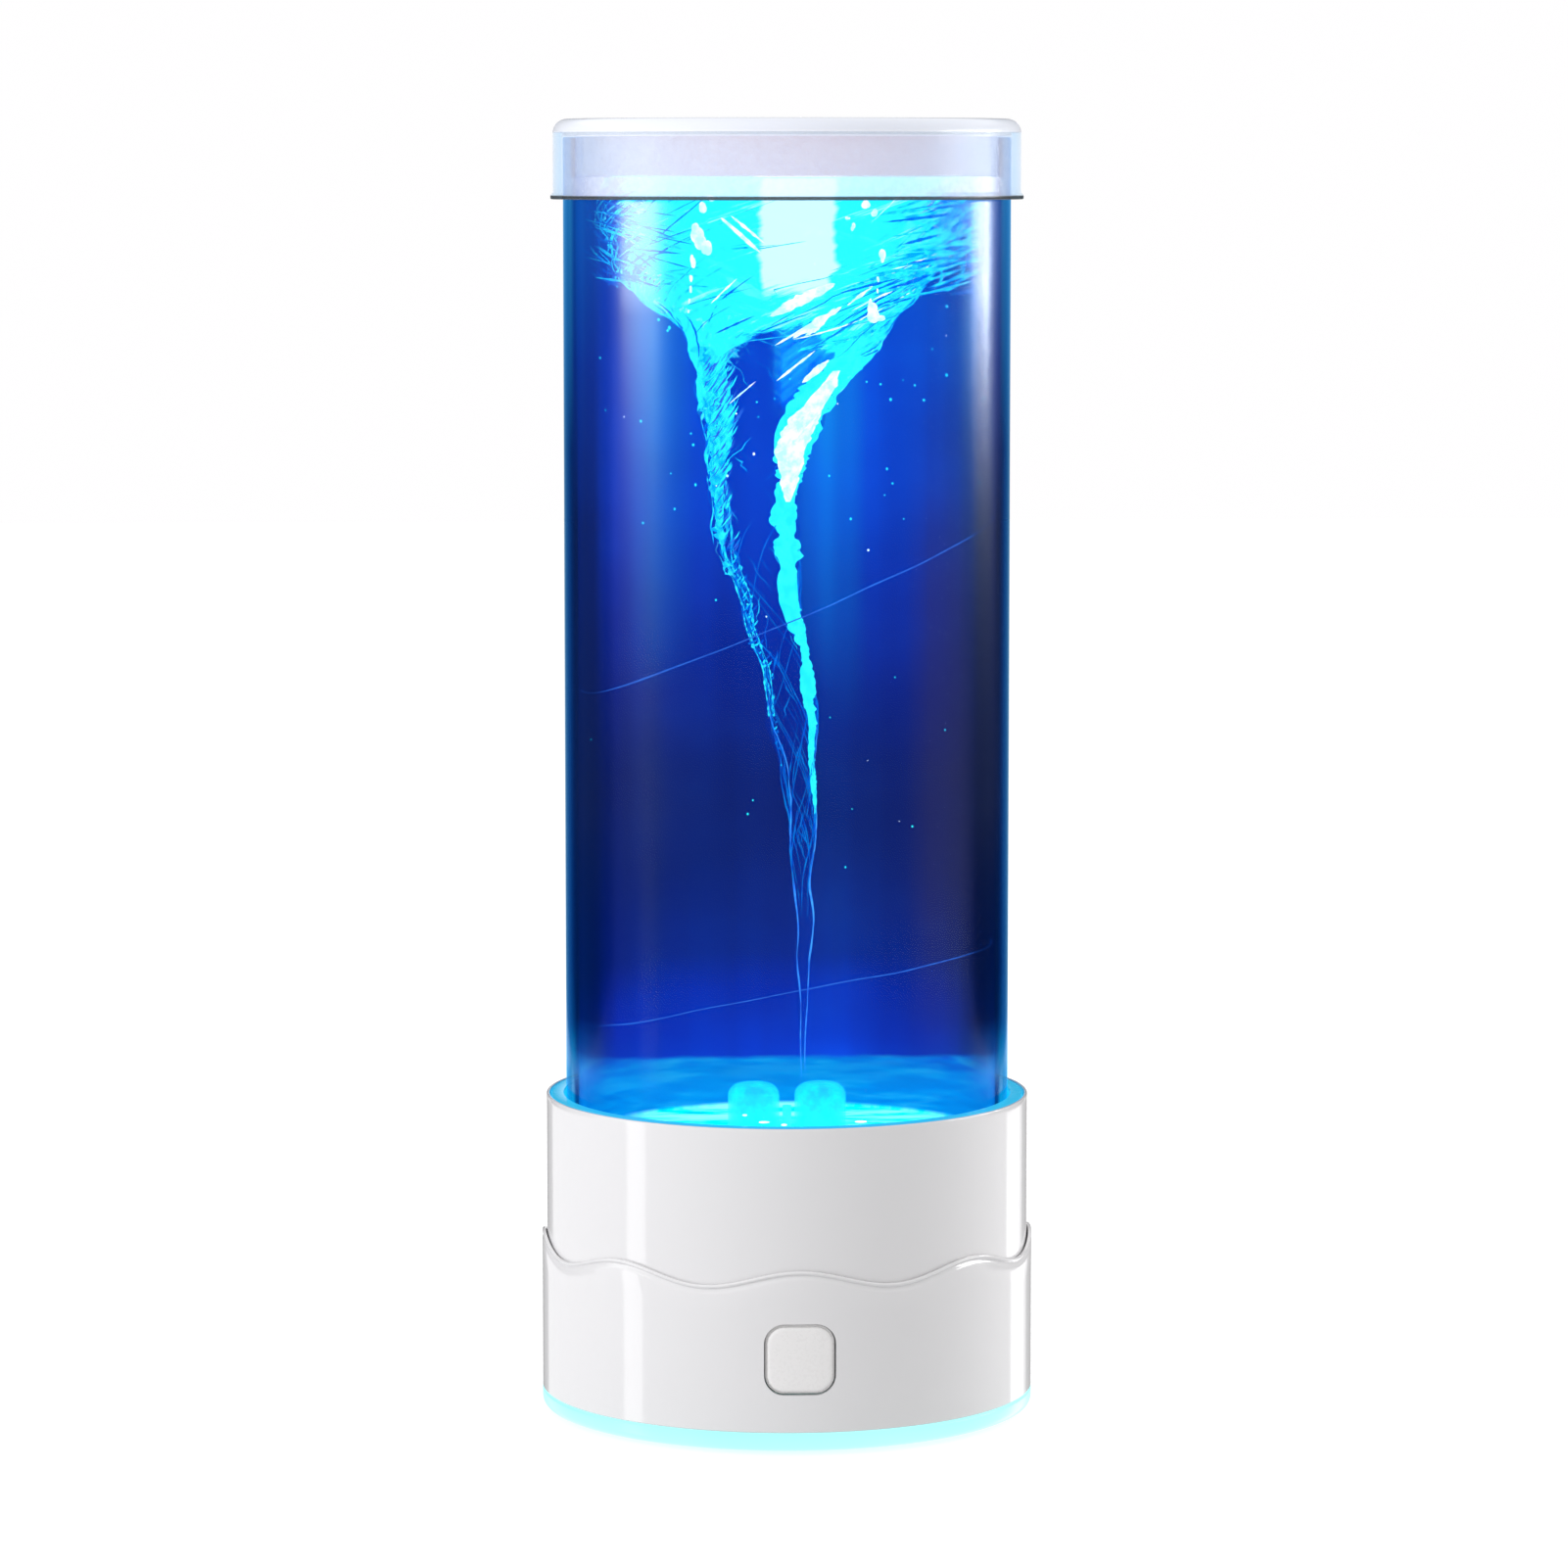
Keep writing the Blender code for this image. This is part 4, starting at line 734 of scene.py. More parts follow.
# The upper shell: a straight wall with a thin rounded edge round the lit collar
inner = upper_r - 2.2 * MM
rim = 0.3 * MM
rim_in = collar_r + GAP
ledge = collar_low.z - GAP
profile = arc(rim_in + rim * 0.5, upper_high.z - rim * 0.5, rim * 0.5, 180, 90, 4)
profile += round_top(upper_r, upper_high.z, rim, 6)
profile += [(upper_r, upper_high.z - 1.2 * MM), (upper_r, upper_low.z), (inner, upper_low.z),
            (inner, ledge), (rim_in, ledge)]
turned("upper_shell_gloss", WHITE, profile, "base", "upper_shell")

# The lower shell: a lip that follows the wavy seam, and openings for button and socket
seam = base_high.z - WAVE
lip_in = upper_r + GAP
inner = lower_r - 2.4 * MM
rabbet = seam - 7.2 * MM
bead = 0.35 * MM
lip = arc(lower_r - bead, seam - bead, bead, 90, -20)
for inset, drop in ((0.1, 0.62), (0.42, 0.86), (0.42, 1.02), (0.12, 1.4), (0, 2), (0, 5.6)):
    lip.append((lower_r - inset * MM, seam - drop * MM))
profile = [(*point, True) for point in lip]
profile += [(lower_r, rabbet - 0.4 * MM), (lower_r, base_low.z + 0.2 * MM),
            (lower_r - 0.2 * MM, base_low.z), (inner, base_low.z), (inner, rabbet), (lip_in, rabbet),
            (lip_in, seam - 0.15 * MM, True), (lip_in + 0.15 * MM, seam, True)]
shell = turned("lower_shell_gloss", WHITE, profile, "base", "lower_shell", 288)
slit = rounded_square(BUTTON_HALF + BUTTON_SLIT, BUTTON_ROUND + BUTTON_SLIT)
middle_z = (button_low.z + button_high.z) / 2
cut(shell, upright(slit, -(lower_r + 2 * MM), middle_z), upright(slit, -(inner - 4 * MM), middle_z))
hole = circle(SOCKET_R + GAP, 48)
cut(shell, upright(hole, inner - 2 * MM, socket_z), upright(hole, lower_r + 2 * MM, socket_z))

# The glow ring under the base and the lit collar round the tube's foot
inner = lower_r - 4.7 * MM
corner = 1.8 * MM
edge = 0.3 * MM
top = base_low.z - GAP
spigot = lower_r - 2.7 * MM
profile = [(spigot, glow_high.z), (spigot, top)] + round_top(lower_r, top, edge)
profile += round_foot(lower_r, glow_low.z, corner, 10)
profile += [(inner, glow_low.z), (inner, glow_high.z)]
turned("glow_ring_milky", GLOW_RING, profile, "base", "glow_ring")
inner = tube_r + GAP
corner = 0.5 * MM
top = collar_high.z
profile = [(inner, top - edge), (inner + edge, top)]
profile += round_top(collar_r, top, corner)
profile += [(collar_r, collar_low.z), (inner, collar_low.z)]
turned("collar_milky", COLLAR, profile, "base", "light_ring")

# The square button: a face that follows the shell's curve, with soft edges
middle_z = (button_low.z + button_high.z) / 2
face_r = lower_r - 0.1 * MM
back_y = button_low.y + 3.4 * MM
outline = rounded_square(BUTTON_HALF, BUTTON_ROUND)
rows = []
for inset, sink in ((-0.34, 3.2), (-0.34, 0.95), (-0.28, 0.85), (0, 0.8), (0, 0.45), (0.08, 0.24),
                    (0.22, 0.1), (0.45, 0.02), (0.8, 0), (2.2, 0), (3.8, 0), (5.2, 0)):
    shrink = 1 - inset * MM / BUTTON_HALF
    rows.append([Vector((x * shrink, -sqrt(face_r ** 2 - (x * shrink) ** 2) + sink * MM,
                         middle_z + z * shrink)) for x, z in reversed(outline)])
rows[0] = [Vector((v.x, back_y, v.z)) for v in rows[0]]
solid = Solid()
solid.join(rows + [[Vector((0, -face_r, middle_z))]], ends=True)
plate_y = back_y + 1.2 * MM
plate = rounded_square(BUTTON_HALF + 2.1 * MM, BUTTON_ROUND)
stem = circle(2 * MM, 24)
solid.join([upright(plate, back_y, middle_z), upright(plate, plate_y, middle_z)], ends=True)
solid.join([upright(stem, plate_y, middle_z), upright(stem, button_high.y, middle_z)], ends=True)
solid.make("button_square", [BUTTON], "button", ["button_cap"], sharp=50)

# A round barrel socket with a bevelled mouth and its centre pin, on a square root
mouth = socket_high.y
depth = 9 * MM
back = depth + 1 * MM
bore = 2.9 * MM
bevel = 0.35 * MM
pin = 1.1 * MM
solid = Solid()
solid.lathe([(SOCKET_R, 0), (SOCKET_R, back), (0, back), (0, depth), (bore, depth), (bore, bevel),
             (bore + bevel, 0)], 48)
solid.lathe([(0, 1 * MM), (pin * 0.6, 1 * MM), (pin, 1.4 * MM), (pin, depth), (0, depth)], 48)
solid.verts = [Vector((v.x, mouth - v.z, socket_z + v.y)) for v in solid.verts]
half = 4.5 * MM
front = mouth - back + 0.01 * MM
corners = ((-half, socket_low.y), (half, socket_low.y), (half, front), (-half, front))
solid.join([[Vector((x, y, z)) for x, y in corners] for z in (socket_high.z, socket_low.z)], ends=True)
solid.make("socket_barrel", [BLACK], "base", ["power_socket"], sharp=30)

# Rubber feet with rounded edges and shallow rings
for i in range(1, 5):
    low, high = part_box(f"foot_{i}")
    r = (high.x - low.x) / 2
    profile = [(0, high.z), (r, high.z)]
    profile += round_foot(r, low.z, 0.3 * MM)
    for share in (0.72, 0.48, 0.24):
        profile += [(r * share + 0.25 * MM, low.z), (r * share, low.z + 0.18 * MM),
                    (r * share - 0.25 * MM, low.z)]
    turned(f"foot_pad_{i}", RUBBER, profile + [(0, low.z)], "base", f"foot_{i}", 48,
           (low + high) / 2)

# The four base screws, with a cross recess in each head
shank = 1.3 * MM
edge = 0.4 * MM
arm = 1.5 * MM
half = 0.28 * MM
cross = [(arm, -half), (arm, half), (half, half), (half, arm), (-half, arm), (-half, half),
         (-arm, half), (-arm, -half), (-half, -half), (-half, -arm), (half, -arm), (half, -half)]
for i in range(1, 5):
    low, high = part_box(f"base_screw_{i}")
    middle = (low + high) / 2
    head = (high.x - low.x) / 2
    top = low.z + 0.8 * MM
    profile = [(0, high.z), (shank, high.z - 1 * MM), (shank, top), (head, top)]
    profile += round_foot(head, low.z, edge) + [(0, low.z)]
    screw = turned(f"base_screw_cross_{i}", SCREW_ZINC, profile, "base",
                   f"base_screw_{i}", 32, middle, 30)
    cut(screw, *([Vector((middle.x + x, middle.y + y, low.z + z)) for x, y in cross]
                 for z in (0.5 * MM, -0.5 * MM)))

# Frosted lugs on a round hub
solid = Solid()
hub_r = impeller_high.x
hub_top = impeller_low.z + 2.2 * MM
bore = 1.2 * MM
edge = 0.5 * MM
solid.lathe([(bore, hub_top)] + round_top(hub_r, hub_top, edge)
            + [(hub_r, impeller_low.z), (bore, impeller_low.z)], SMALL_ROUND)
lug_r = 5.3 * MM
lug_round = 2.6 * MM
foot = hub_top - 0.3 * MM
for x in (-6.8 * MM, 6.8 * MM):
    profile = [(0, impeller_high.z)]
    profile += round_top(lug_r, impeller_high.z, lug_round, 8)
    solid.lathe(profile + [(lug_r, foot), (0, foot)], 48, (x, 0))
solid.make("impeller_frosted", [LUG], "impeller", ["impeller"])


# Shapes of the water, with the helpers that its pieces share
def height_at(share):
    """The height at a share of the funnel, from its tip to the water level."""
    return tip_z + share * (level_z - tip_z)


def share_at(height):
    return (height - tip_z) / (level_z - tip_z)


def wobble(*spot):
    """Smooth noise of about -0.5 to 0.5."""
    return noise.noise(Vector(spot))


def taper(share, cut_off=0.02, power=0.6):
    """Thickness along a thread: full in its middle and none at its ends."""
    return sin(pi * min(max(share, cut_off), 1 - cut_off)) ** power


def read(table, place, column=1):
    """A column of a table in millimetres, between its rows, as metres."""
    return float(np.interp(place, [row[0] for row in table], [row[column] for row in table])) * MM


def smoothed(rows):
    """The outline's columns on even heights, softened so that it has no corners."""
    heights = np.linspace(0, 1, 141)
    columns = [heights]
    kernel = np.array([1, 2, 3, 2, 1]) / 9
    for column in (1, 2):
        values = np.interp(heights, [r[0] for r in rows], [r[column] for r in rows])
        padded = np.concatenate([values[:1].repeat(2), values, values[-1:].repeat(2)])
        columns.append(np.convolve(padded, kernel, mode="valid"))
    return columns


FUNNEL_H, FUNNEL_L, FUNNEL_R = smoothed(FUNNEL_SHARES)


def funnel(height):
    """Middle and radius of the funnel at a height, bent as the photograph shows."""
    share = min(max(share_at(height), 0), 1)
    left = float(np.interp(share, FUNNEL_H, FUNNEL_L)) * water_r
    right = float(np.interp(share, FUNNEL_H, FUNNEL_R)) * water_r
    sway = 0.045 * water_r * sin(9 * share) * (1 - share)
    return Vector(((left + right) / 2, sway, height)), (right - left) / 2


def on_funnel(height, angle, lift=0, rough=1):
    """A point on the funnel's surface, with its twisted lobes and small lumps."""
    middle, radius = funnel(height)
    phase = angle - TWIST * (height - tip_z)
    lobes = 0.1 * sin(2 * phase + 0.7) + 0.07 * sin(3 * phase + 2)
    lobes *= min(1, (level_z - height) / (80 * MM))
    spot = Vector((cos(phase), sin(phase), height * 60)) * 2.1
    lump = noise.fractal(spot, 0.7, 2.1, 4) * (0.9 * MM + 0.05 * radius)
    reach = max(radius * (1 + lobes) + rough * lump * min(1, radius / (4 * MM)), 0.25 * MM) + lift
    reach = min(reach, water_r - 0.6 * MM)
    return middle + Vector((reach * cos(angle), reach * sin(angle), 0))


def front_point(across, height, lift):
    """The point on the front of the film at a distance across, pushed out by lift."""
    middle, reach = funnel(height)
    for _ in range(5):
        turn = -acos(min(max((across - middle.x) / reach, -0.995), 0.995))
        spot = on_funnel(height, turn, lift)
        reach = (spot - middle).length
    return spot


def strand(bundle, low_z, high_z, angle, width, lift=0.2 * MM, swirl=1, wander=0.15):
    """One thin twisted strand on the funnel, thickest in its middle."""
    seed = draw(0, 50)

    def rule(share):
        height = low_z + (high_z - low_z) * share
        turn = angle + swirl * TWIST * (height - low_z) + wander * wobble(seed, share * 3, 0)
        rough = 0.65 + 0.7 * wobble(seed, share * 14, 5)
        return on_funnel(height, turn, lift, rough=0.35), width * max(rough, 0.25) * taper(share)

    bundle.thread(max(int((high_z - low_z) / (1.1 * MM)), 5), rule)


def ridge(name, look, edges, low_z, high_z, lift, jag, seed):
    """A closed glowing lens on the funnel's front, lumpy on its left and smooth on its right, for the
    braid's body and for the crest's painted light.
    """
    count = int((high_z - low_z) / (0.5 * MM))
    last = 8
    there_and_back = [*range(last + 1), *range(last, -1, -1)]
    rows = []
    for i in range(count + 1):
        height = low_z + (high_z - low_z) * i / count
        left, right = edges(height)
        wide = right - left
        drift = wobble(seed, height * 90, 0)
        puff = abs(sin(height * 560 + 6 * drift + seed)) ** 0.6
        small = abs(sin(height * 1300 + 9 * drift)) ** 0.6
        left -= jag * wide * ((0.5 + drift) * (puff - 0.5) + 0.22 * (small - 0.5))
        right += 0.25 * jag * wide * (puff - 0.6)
        fade = min(1, 4 * i / count, 4 * (count - i) / count)
        row = []
        for k, column in enumerate(there_and_back):
            share = column / last
            across = left + (right - left) * min(max(share, 0.02), 0.98)
            swell = sqrt(max(1 - (2 * share - 1) ** 2, 0)) * 0.7 * MM * fade
            row.append(front_point(across, height, lift + (swell if k <= last else 0)))
        rows.append(row)
    froth = Solid()
    froth.join(rows, ends=True)
    froth.froth(name, look, sharp=75)


# The film from the funnel's tip up to its mouth, then the level, the wall and the bottom
film_steps = 220
wall_steps = 24
turns = angles(120)
rows = [[Vector((*funnel(tip_z)[0].xy, tip_z - 0.4 * MM))]]
for i in range(film_steps, -1, -1):
    height = level_z + (tip_z - level_z) * (i / film_steps) ** 0.9
    rows.append([on_funnel(height, a) for a in turns])
for i in range(wall_steps + 1):
    height = level_z + (water_low.z - level_z) * i / wall_steps
    rows.append([Vector((water_r * cos(a), water_r * sin(a), height)) for a in turns])
rows.append([Vector((0, 0, water_low.z))])
solid = Solid()
solid.join(rows)
water = solid.make("water", [SKIN, FILM], "base", ["liquid"], sharp=60)
film_faces = len(turns) * (film_steps + 2)
slots = [1] * film_faces + [0] * (len(solid.faces) - film_faces)
water.data.polygons.foreach_set("material_index", slots)

# Long faint threads down the funnel, and short bright ones that climb to the right
cyan, blue, tail = Solid(), Solid(), Solid()
for _ in range(24):
    low = height_at(draw(0.15, 0.5))
    high = min(low + draw(20, 55) * MM, height_at(0.78))
    strand(blue, low, high, draw(0, TURN), draw(0.1, 0.22) * MM)
for _ in range(110):
    share = draw(0.15, 0.86) ** 0.8
    low = height_at(share)
    high = min(low + draw(3, 9) * MM, level_z - 6 * MM)
    bundle = cyan if random.random() < 0.75 * (share - 0.3) else blue
    strand(bundle, low, high, draw(0, TURN), draw(0.1, 0.26) * MM, draw(0, 0.4) * MM,
           draw(0.8, 1.3))
for start, share, width in ((-0.5, 0.46, 0.3), (3.5, 0.44, 0.22)):
    strand(tail, tip_z - 2.4 * MM, height_at(share), start, width * MM, swirl=0.06, wander=1.6)
tail.froth("vortex_tail", TAIL)
cyan.froth("vortex_threads", CYAN)
blue.froth("vortex_threads_deep", SOFT_BLUE)

# Thin rough threads that wind round each other down the funnel's left side
cyan, blue, bright, dark = Solid(), Solid(), Solid(), Solid()
for k in range(9):
    low = draw(0.38, 0.5) if k % 2 else draw(BRAID[0][0], 0.35)
    high = BRAID[-1][0] - draw(0, 0.05)
    phase = TURN * k / 9
    spin = draw(38, 58)

    def wound(along):
        share = low + (high - low) * along
        middle, radius = funnel(height_at(share))
        half = read(BRAID, share)
        turn = phase + spin * share + 0.6 * wobble(share * 20, k * 3, 0)
        edge = middle - Vector((max(radius - half * 0.8, 0), 0.5 * half, 0))
        reach = half * (0.75 + 0.5 * wobble(share * 30, k * 5, 2))
        lump = 0.45 + 1.5 * wobble(share * 75, k * 7, 4)
        return (edge + reach * Vector((cos(turn), sin(turn), 0)),
                (0.1 * MM + 0.11 * half) * max(lump, 0.1))

    (cyan if k % 2 else blue).thread(230, wound)
for side in (0, 2):
    def beaded(along):
        share = 0.4 + 0.27 * along
        middle, radius = funnel(height_at(share))
        half = read(BRAID, share)
        shift = (side * 0.75 + 0.3 * wobble(share * 40, side, 9)) * half
        bead = wobble(share * 170, side, 1)
        return (middle + Vector((-radius + shift, -1.1 * half, 0)),
                max(0.08 + 0.55 * bead, 0.03) * (0.5 + share) * MM)

    bright.thread(260, beaded, 6)
for i in range(210):
    share = 0.34 + 0.46 * random.random() ** 0.7
    height = height_at(share)
    middle, radius = funnel(height)
    half = read(BRAID, share)
    start = middle.x - 0.97 * radius + draw(0, 1.5) * half
    length = draw(0.4, 1.1) * half
    thick = draw(0.1, 0.24) * MM
    bundle = dark if i % 2 and share > 0.56 else bright if share > 0.6 else blue if i % 3 else cyan

    def stroke(along):
        rise = length * along * (0.6 + 0.6 * along)
        spot = front_point(start + 0.75 * length * along, height + rise, 1 * MM)
        return spot, thick if along == 0.5 else 0.7 * thick

    bundle.thread(4, stroke)
cyan.froth("braid_left", CYAN)
bright.froth("braid_strokes", SOLID_CYAN)
dark.froth("braid_flecks", LINE)
blue.froth("braid_left_deep", SOFT_BLUE)

# The braid's lumpy body, then the bright crest and its white core, painted light on the funnel's lit
# right side
body_low = height_at(0.56)


def body_edges(height):
    middle, radius = funnel(height)
    left = middle.x - 0.97 * radius
    wide = min(max((height - body_low) / (26 * MM), 0.08), 1)
    return left, left + 1.5 * read(BRAID, share_at(height)) * wide


def crest_edges(height):
    middle, radius = funnel(height)
    near = [read(CREST, share_at(height + step * MM)) for step in (-1.4, -0.7, 0, 0.7, 1.4)]
    right = middle.x + radius
    return right - 2 * sum(near) / len(near), right


def core_edges(height):
    return read(CORE, height / MM, 1), read(CORE, height / MM, 2)


ridge("braid_body", CYAN, body_edges, body_low, height_at(0.815), 0.2 * MM, 0.45, 5)
ridge("crest_froth", SOLID_CYAN, crest_edges, height_at(CREST[0][0]), height_at(CREST[-1][0]),
      0.4 * MM, 0.5, 3)
ridge("crest_core", PALE, core_edges, CORE[0][0] * MM, CORE[-1][0] * MM, 1.4 * MM, 0.32, 9)

# Streaks that run round the funnel's flare and climb to the tube's wall
cyan, pale, blue = Solid(), Solid(), Solid()
for i in range(420):
    angle = radians(draw(-75, 25) if i % 5 < 2 else draw(-180, 180))
    start = height_at(draw(0.8, 0.955))
    if radians(-132) < angle < radians(-68) and start > 222 * MM:
        continue
    rise = draw(1.5, 12) * MM
    sweep = draw(0.25, 0.9)
    width = draw(0.08, 0.3) * MM
    lift = draw(0.1, 0.7) * MM
    kind = random.random()
    bundle = pale if kind > (0.93 if cos(angle) > 0 else 0.98) else cyan if kind < 0.62 else blue
    seed = draw(0, 80)

    def streak(share):
        height = min(start + rise * share ** 1.2, level_z - 0.6 * MM)
        rough = 0.7 + 0.6 * wobble(seed, share * 9, 3)
        return (on_funnel(height, angle + sweep * share, lift, rough=0.4),
                width * max(rough, 0.2) * taper(share, 0.03, 0.7))

    bundle.thread(22, streak)
cyan.froth("splash_streaks", CYAN)
pale.froth("splash_streaks_pale", PALE)
blue.froth("splash_streaks_deep", SOFT_BLUE)

# Streaks in the water between the funnel's flare and the tube's wall, rising outwards
cyan, blue = Solid(), Solid()
for i in range(330):
    angle = draw(-pi, pi)
    right = cos(angle + radians(10)) > 0
    lowest = 226.2 if right else 228.5
    low = (lowest + (244.5 - lowest) * random.random() ** (0.9 if right else 1.3)) * MM
    sweep = draw(0.12, 0.45) * (1 if right else -1)
    rise = draw(0.6, 4) * MM
    start = draw(0, 0.6)
    reach = draw(0.25, 0.6)
    width = draw(0.1, 0.34) * (1.6 if right else 1) * MM
    seed = draw(0, 90)
    if radians(-114) < angle < radians(-72):
        continue

    def streak(share):
        turn = angle + sweep * share
        height = min(low + rise * share, level_z - 1.2 * MM)
        outer = Vector((cos(turn), sin(turn), 0)) * (water_r - 1 * MM)
        outer.z = height
        inner = on_funnel(height, turn, 0.5 * MM, rough=0.4)
        rough = 0.7 + 0.7 * wobble(seed, share * 7, 1)
        return (inner.lerp(outer, min(start + reach * share, 1)),
                width * max(rough, 0.2) * taper(share, 0.03))

    (cyan if i % 5 < (4 if right else 2) else blue).thread(12, streak)
cyan.froth("wall_streaks", CYAN)
blue.froth("wall_streaks_deep", SOFT_BLUE)

# The white streaks, painted highlights, on the front and, above the narrow part, on the back as well
pale = Solid()
for turn in (0, pi):
    for x0, z0, x1, z1, width in WHITE_STREAKS:
        if turn and z0 < 222:
            continue

        def streak(share):
            height = (z0 + (z1 - z0) * share + 1.2) * MM
            middle = funnel(height)[0]
            spot = front_point((x0 + (x1 - x0) * share) * MM, height, 0.9 * MM) - middle
            spot.rotate(Euler((0, 0, turn)))
            rough = 0.8 + 0.6 * wobble(x0 + turn, share * 8, z0)
            return spot + middle, width * MM * rough * taper(share, power=0.5)

        pale.thread(24, streak, 7)
pale.froth("vortex_highlights", PALE)

# Small bubbles through the water, more of them near the top, drops under the cap, and painted glints on
# the front of the water's foot
cyan, pale = Solid(), Solid()
for _ in range(85):
    share = random.random() ** 0.4
    height = tip_z + 8 * MM + share * (level_z - tip_z - 12 * MM)
    angle = draw(0, TURN)
    middle, radius = funnel(height)
    inner = min(radius + 1.5 * MM + abs(middle.x), water_r - 3 * MM)
    reach = draw(inner, water_r - 1 * MM)
    size = draw(0.12, 0.3) * MM * (0.6 + 0.5 * share)
    spot = Vector((reach * cos(angle), reach * sin(angle), height))
    bundle = cyan if random.random() < 0.8 else pale
    bundle.ball(spot, (size, size, size * draw(0.9, 1.4)))
for turn in (0, pi):
    for x, z, wide, tall in DROPS:
        for _ in range(4):
            shift = Vector((draw(-0.2, 0.2) * wide, 0, draw(-0.25, 0.25) * tall))
            size = draw(0.24, 0.42)
            reach = sqrt(40.6 ** 2 - (x + shift.x) ** 2)
            middle = Vector((x + shift.x, -reach, z + shift.z)) * MM
            middle.rotate(Euler((0, 0, turn)))
            pale.ball(middle, (wide * size * MM, 0.4 * MM, tall * size * MM), rings=8, sides=10)
# Painted glints: flat white glowing drops on the front of the water's foot
for x, z, wide in GLINTS:
    pale.ball(Vector((x, -sqrt(41 ** 2 - x ** 2), z)) * MM, (wide * MM, 0.4 * MM, 0.22 * MM))
cyan.froth("bubbles", SOLID_CYAN)
pale.froth("drops", PALE)

# Two thin lines that climb round the tank's front, close to its wall
lines = Solid()
reach = water_r - 0.6 * MM
for middle, slope, bow, width in ((164.5, 17.5, 0, 0.17), (91.3, 8, 3.5, 0.14)):
    def line(share):
        side = radians(-92 + 184 * share)
        ripple = 0.4 * wobble(3 * side, middle, 0)
        height = (middle + slope * sin(side) - bow * sin(side) ** 2 + ripple) * MM
        return (Vector((reach * sin(side), -reach * cos(side), height)),
                width * MM * (0.9 + 0.5 * wobble(2.5 * side, middle, 7)))

    lines.thread(120, line, 6)
lines.froth("swirl_lines", LINE)


def around_lamp(degrees, distance, height):
    """A place round the lamp; 0 degrees is towards the camera and positive is to its right."""
    angle = radians(degrees + CAMERA_TURN)
    return Vector((distance * sin(angle), -distance * cos(angle), height))


def softbox(name, degrees, distance, height, wide, tall, power, color, only=None):
    """A rectangular lamp that faces the axis. It lights one piece alone, or all and no gloss."""
    data = bpy.data.lights.new(name, "AREA")
    data.shape = "RECTANGLE"
    data.size = wide
    data.size_y = tall
    data.energy = power
    data.color = color
    lamp = add_object(name, data)
    lamp.location = around_lamp(degrees, distance, height)
    lamp.rotation_euler = (Vector((0, 0, height)) - lamp.location).to_track_quat("-Z", "Y").to_euler()
    lamp.visible_camera = False
    lamp.visible_glossy = only is not None
    if only:
        group = bpy.data.collections.new(name + "_lights")
        group.objects.link(bpy.data.objects[only])
        lamp.light_linking.receiver_collection = group


def card(name, degrees, distance, low, high, wide, strength):
    """A tall reflector that only gloss sees."""
    middle = around_lamp(degrees, distance, 0)
    angle = radians(degrees + CAMERA_TURN)
    across = Vector((cos(angle), sin(angle), 0)) * wide
    columns = 8
    verts = [middle + across * (i / columns - 0.5) + Vector((0, 0, height))
             for i in range(columns + 1) for height in (low, high)]
    board = add_object(name, make_mesh(name, verts, [(2 * i, 2 * i + 2, 2 * i + 3, 2 * i + 1)
                                                     for i in range(columns)]))
    material = bpy.data.materials.new(name)
    material.use_nodes = True
    graph = Graph(material.node_tree)
    graph.tree.nodes.clear()
    light = graph.node("Emission", {"Color": (1, 1, 1), "Strength": strength})
    graph.feed(graph.tree.nodes.new("ShaderNodeOutputMaterial").inputs["Surface"], light)
    material.cycles.emission_sampling = "NONE"
    board.data.materials.append(material)
    board.visible_camera = False
    board.visible_diffuse = False
    board.visible_shadow = False
    board.visible_transmission = False


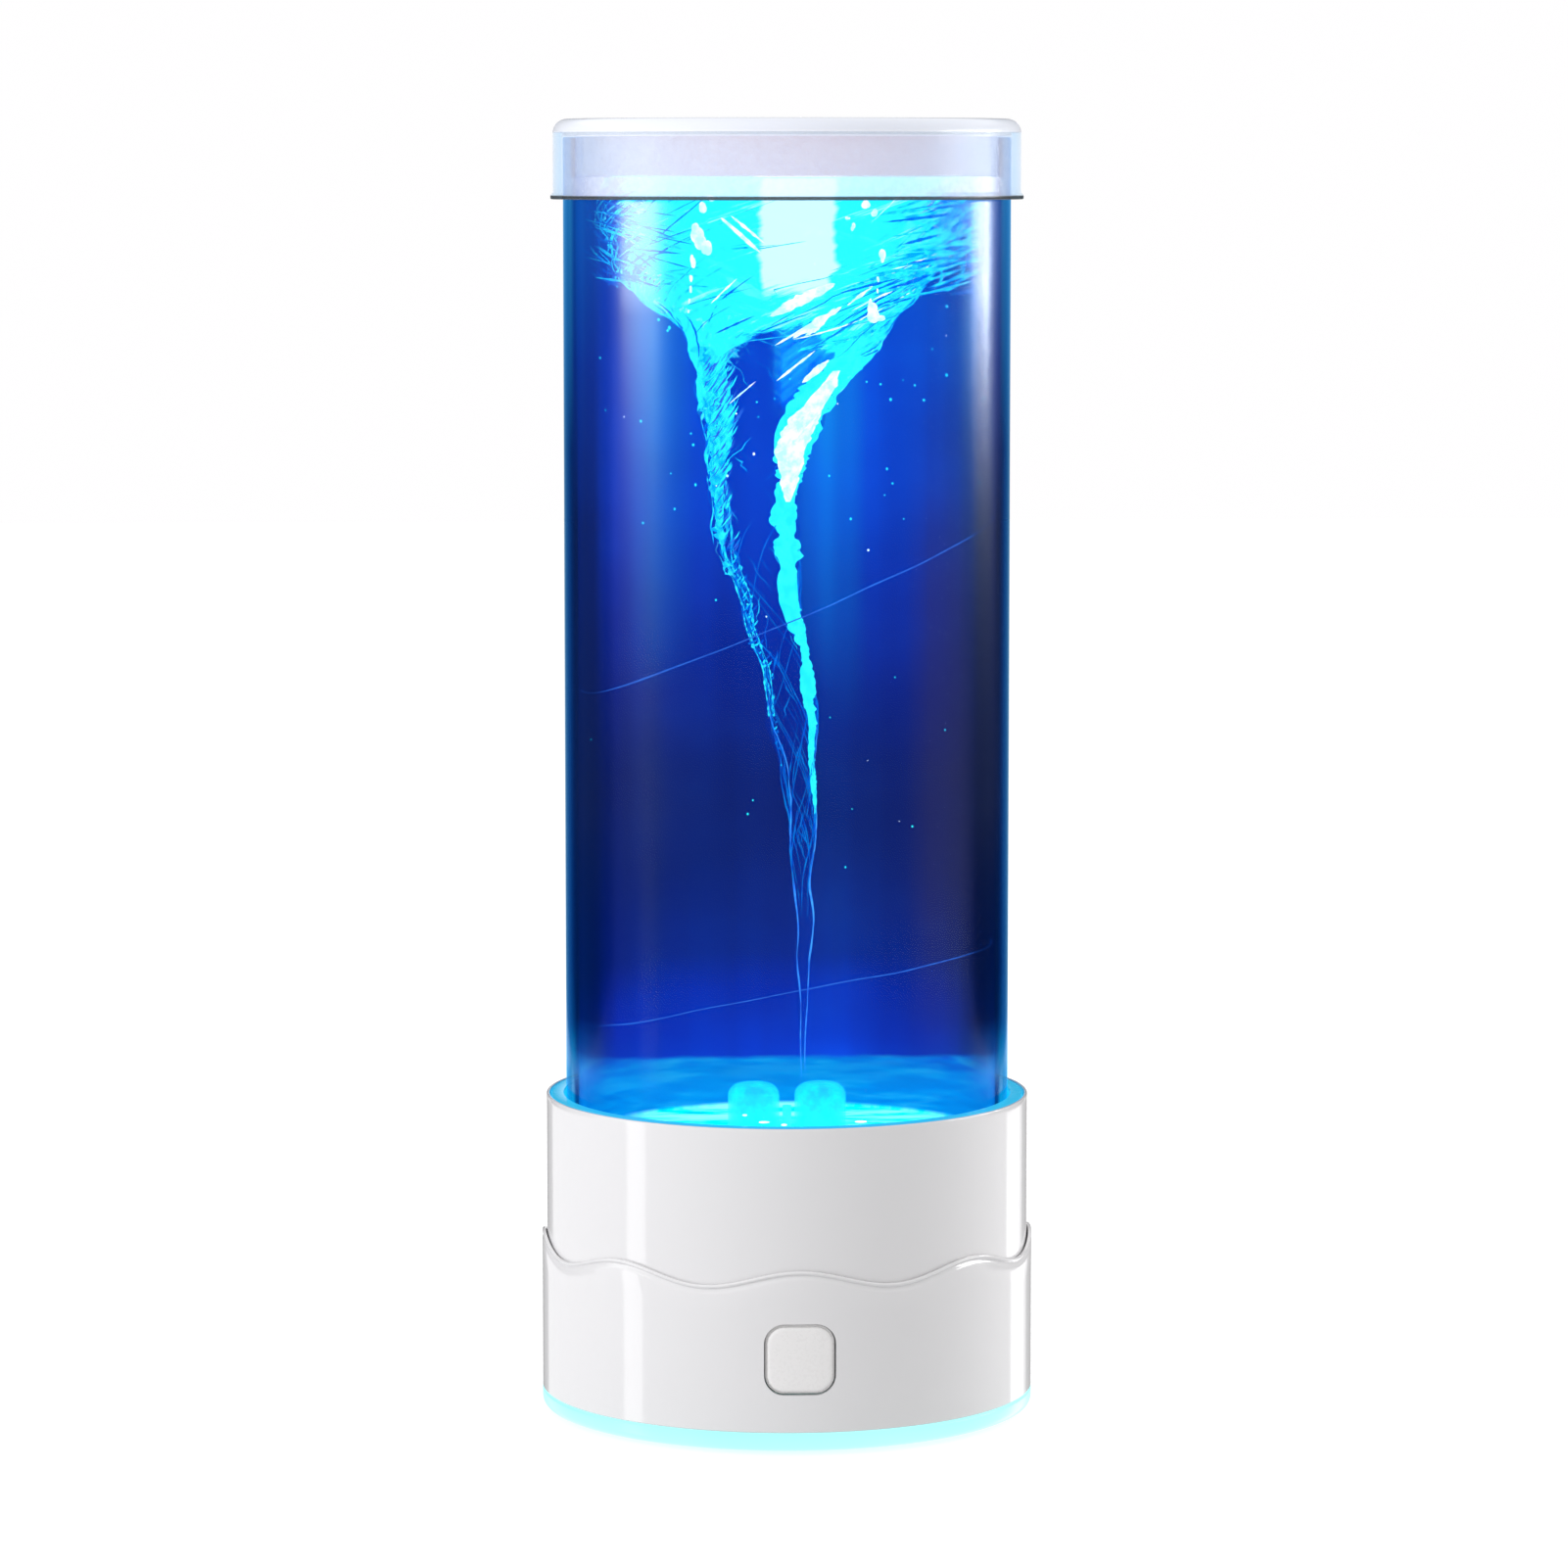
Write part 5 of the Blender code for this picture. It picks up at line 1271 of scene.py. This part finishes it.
# The stage, which stays behind when the part is used elsewhere: a pale floor that keeps the
# lamp's soft shadow, a white surround, lamps, reflectors and the camera
size = 6
steps = 12
line = steps + 1
verts = [(size * (i / steps - 0.5), size * (k / steps - 0.5), 0)
         for i in range(line) for k in range(line)]
faces = [(i * line + k, (i + 1) * line + k, (i + 1) * line + k + 1, i * line + k + 1)
         for i in range(steps) for k in range(steps)]
look = Recipe("floor_white", (0.62, 0.62, 0.62), 0.9, specular=0)
look.glow((1, 1, 1), look.seen() * FLOOR_GLOW)
floor = add_object("floor", make_mesh("floor", verts, faces))
floor.data.materials.append(look.material)
floor.visible_glossy = False
world = bpy.data.worlds.new("studio")
bpy.context.scene.world = world
world.use_nodes = True
sky = Graph(world.node_tree)
background = sky.tree.nodes["Background"].inputs
sky.feed(background["Color"], (1, 0.995, 1))
sky.feed(background["Strength"], sky.seen().span(0, 1, AMBIENT, 1))

softbox("key", -66, 1.3, 0.45, 0.9, 1.1, 10.5, (0.97, 0.97, 1))
softbox("rim", 120, 1.3, 0.35, 0.7, 0.9, 11.5, (1, 0.99, 1))
softbox("tube_left", -80, 1, 0.365, 0.42, 0.3, 88, (0.88, 1, 1), "tube_wall")
softbox("tube_right", 115, 1, 0.345, 0.32, 0.32, 16, (0.74, 0.84, 1), "tube_wall")
card("strip_left", -74.6, 0.9, -0.5, 0.12, 0.17, 3.4)
card("strip_cap_left", -76, 0.9, 0.245, 0.42, 0.54, 2.8)
card("strip_right", 136.5, 0.9, -0.5, -0.08, 0.27, 2.5)
card("strip_cap_right", 101, 0.9, 0.245, 0.42, 0.69, 11)
card("flag_left", -138, 1.15, -0.105, 0.8, 1.75, 0)
card("flag_right", 142, 1.15, -0.105, 0.8, 1.6, 0)
card("edge_left", -160, 1.15, -0.5, -0.106, 0.4, 0.3)
card("edge_right", 160, 1.15, -0.5, -0.106, 0.36, 0.3)
data = bpy.data.cameras.new("camera")
data.lens = SENSOR_MM * FOCAL_PX / PHOTO_PX
data.sensor_width = SENSOR_MM
camera = add_object("camera", data)
camera.location = around_lamp(0, CAMERA_D, CAMERA_Z)
yaw = radians(CAMERA_TURN) + LAMP_RIGHT_PX / FOCAL_PX
camera.rotation_euler = Euler((radians(90 - CAMERA_PITCH), 0, yaw))
scene = bpy.context.scene
scene.camera = camera
scene.view_settings.view_transform = "Standard"
scene.cycles.transparent_max_bounces = 48
scene.cycles.max_bounces = 12
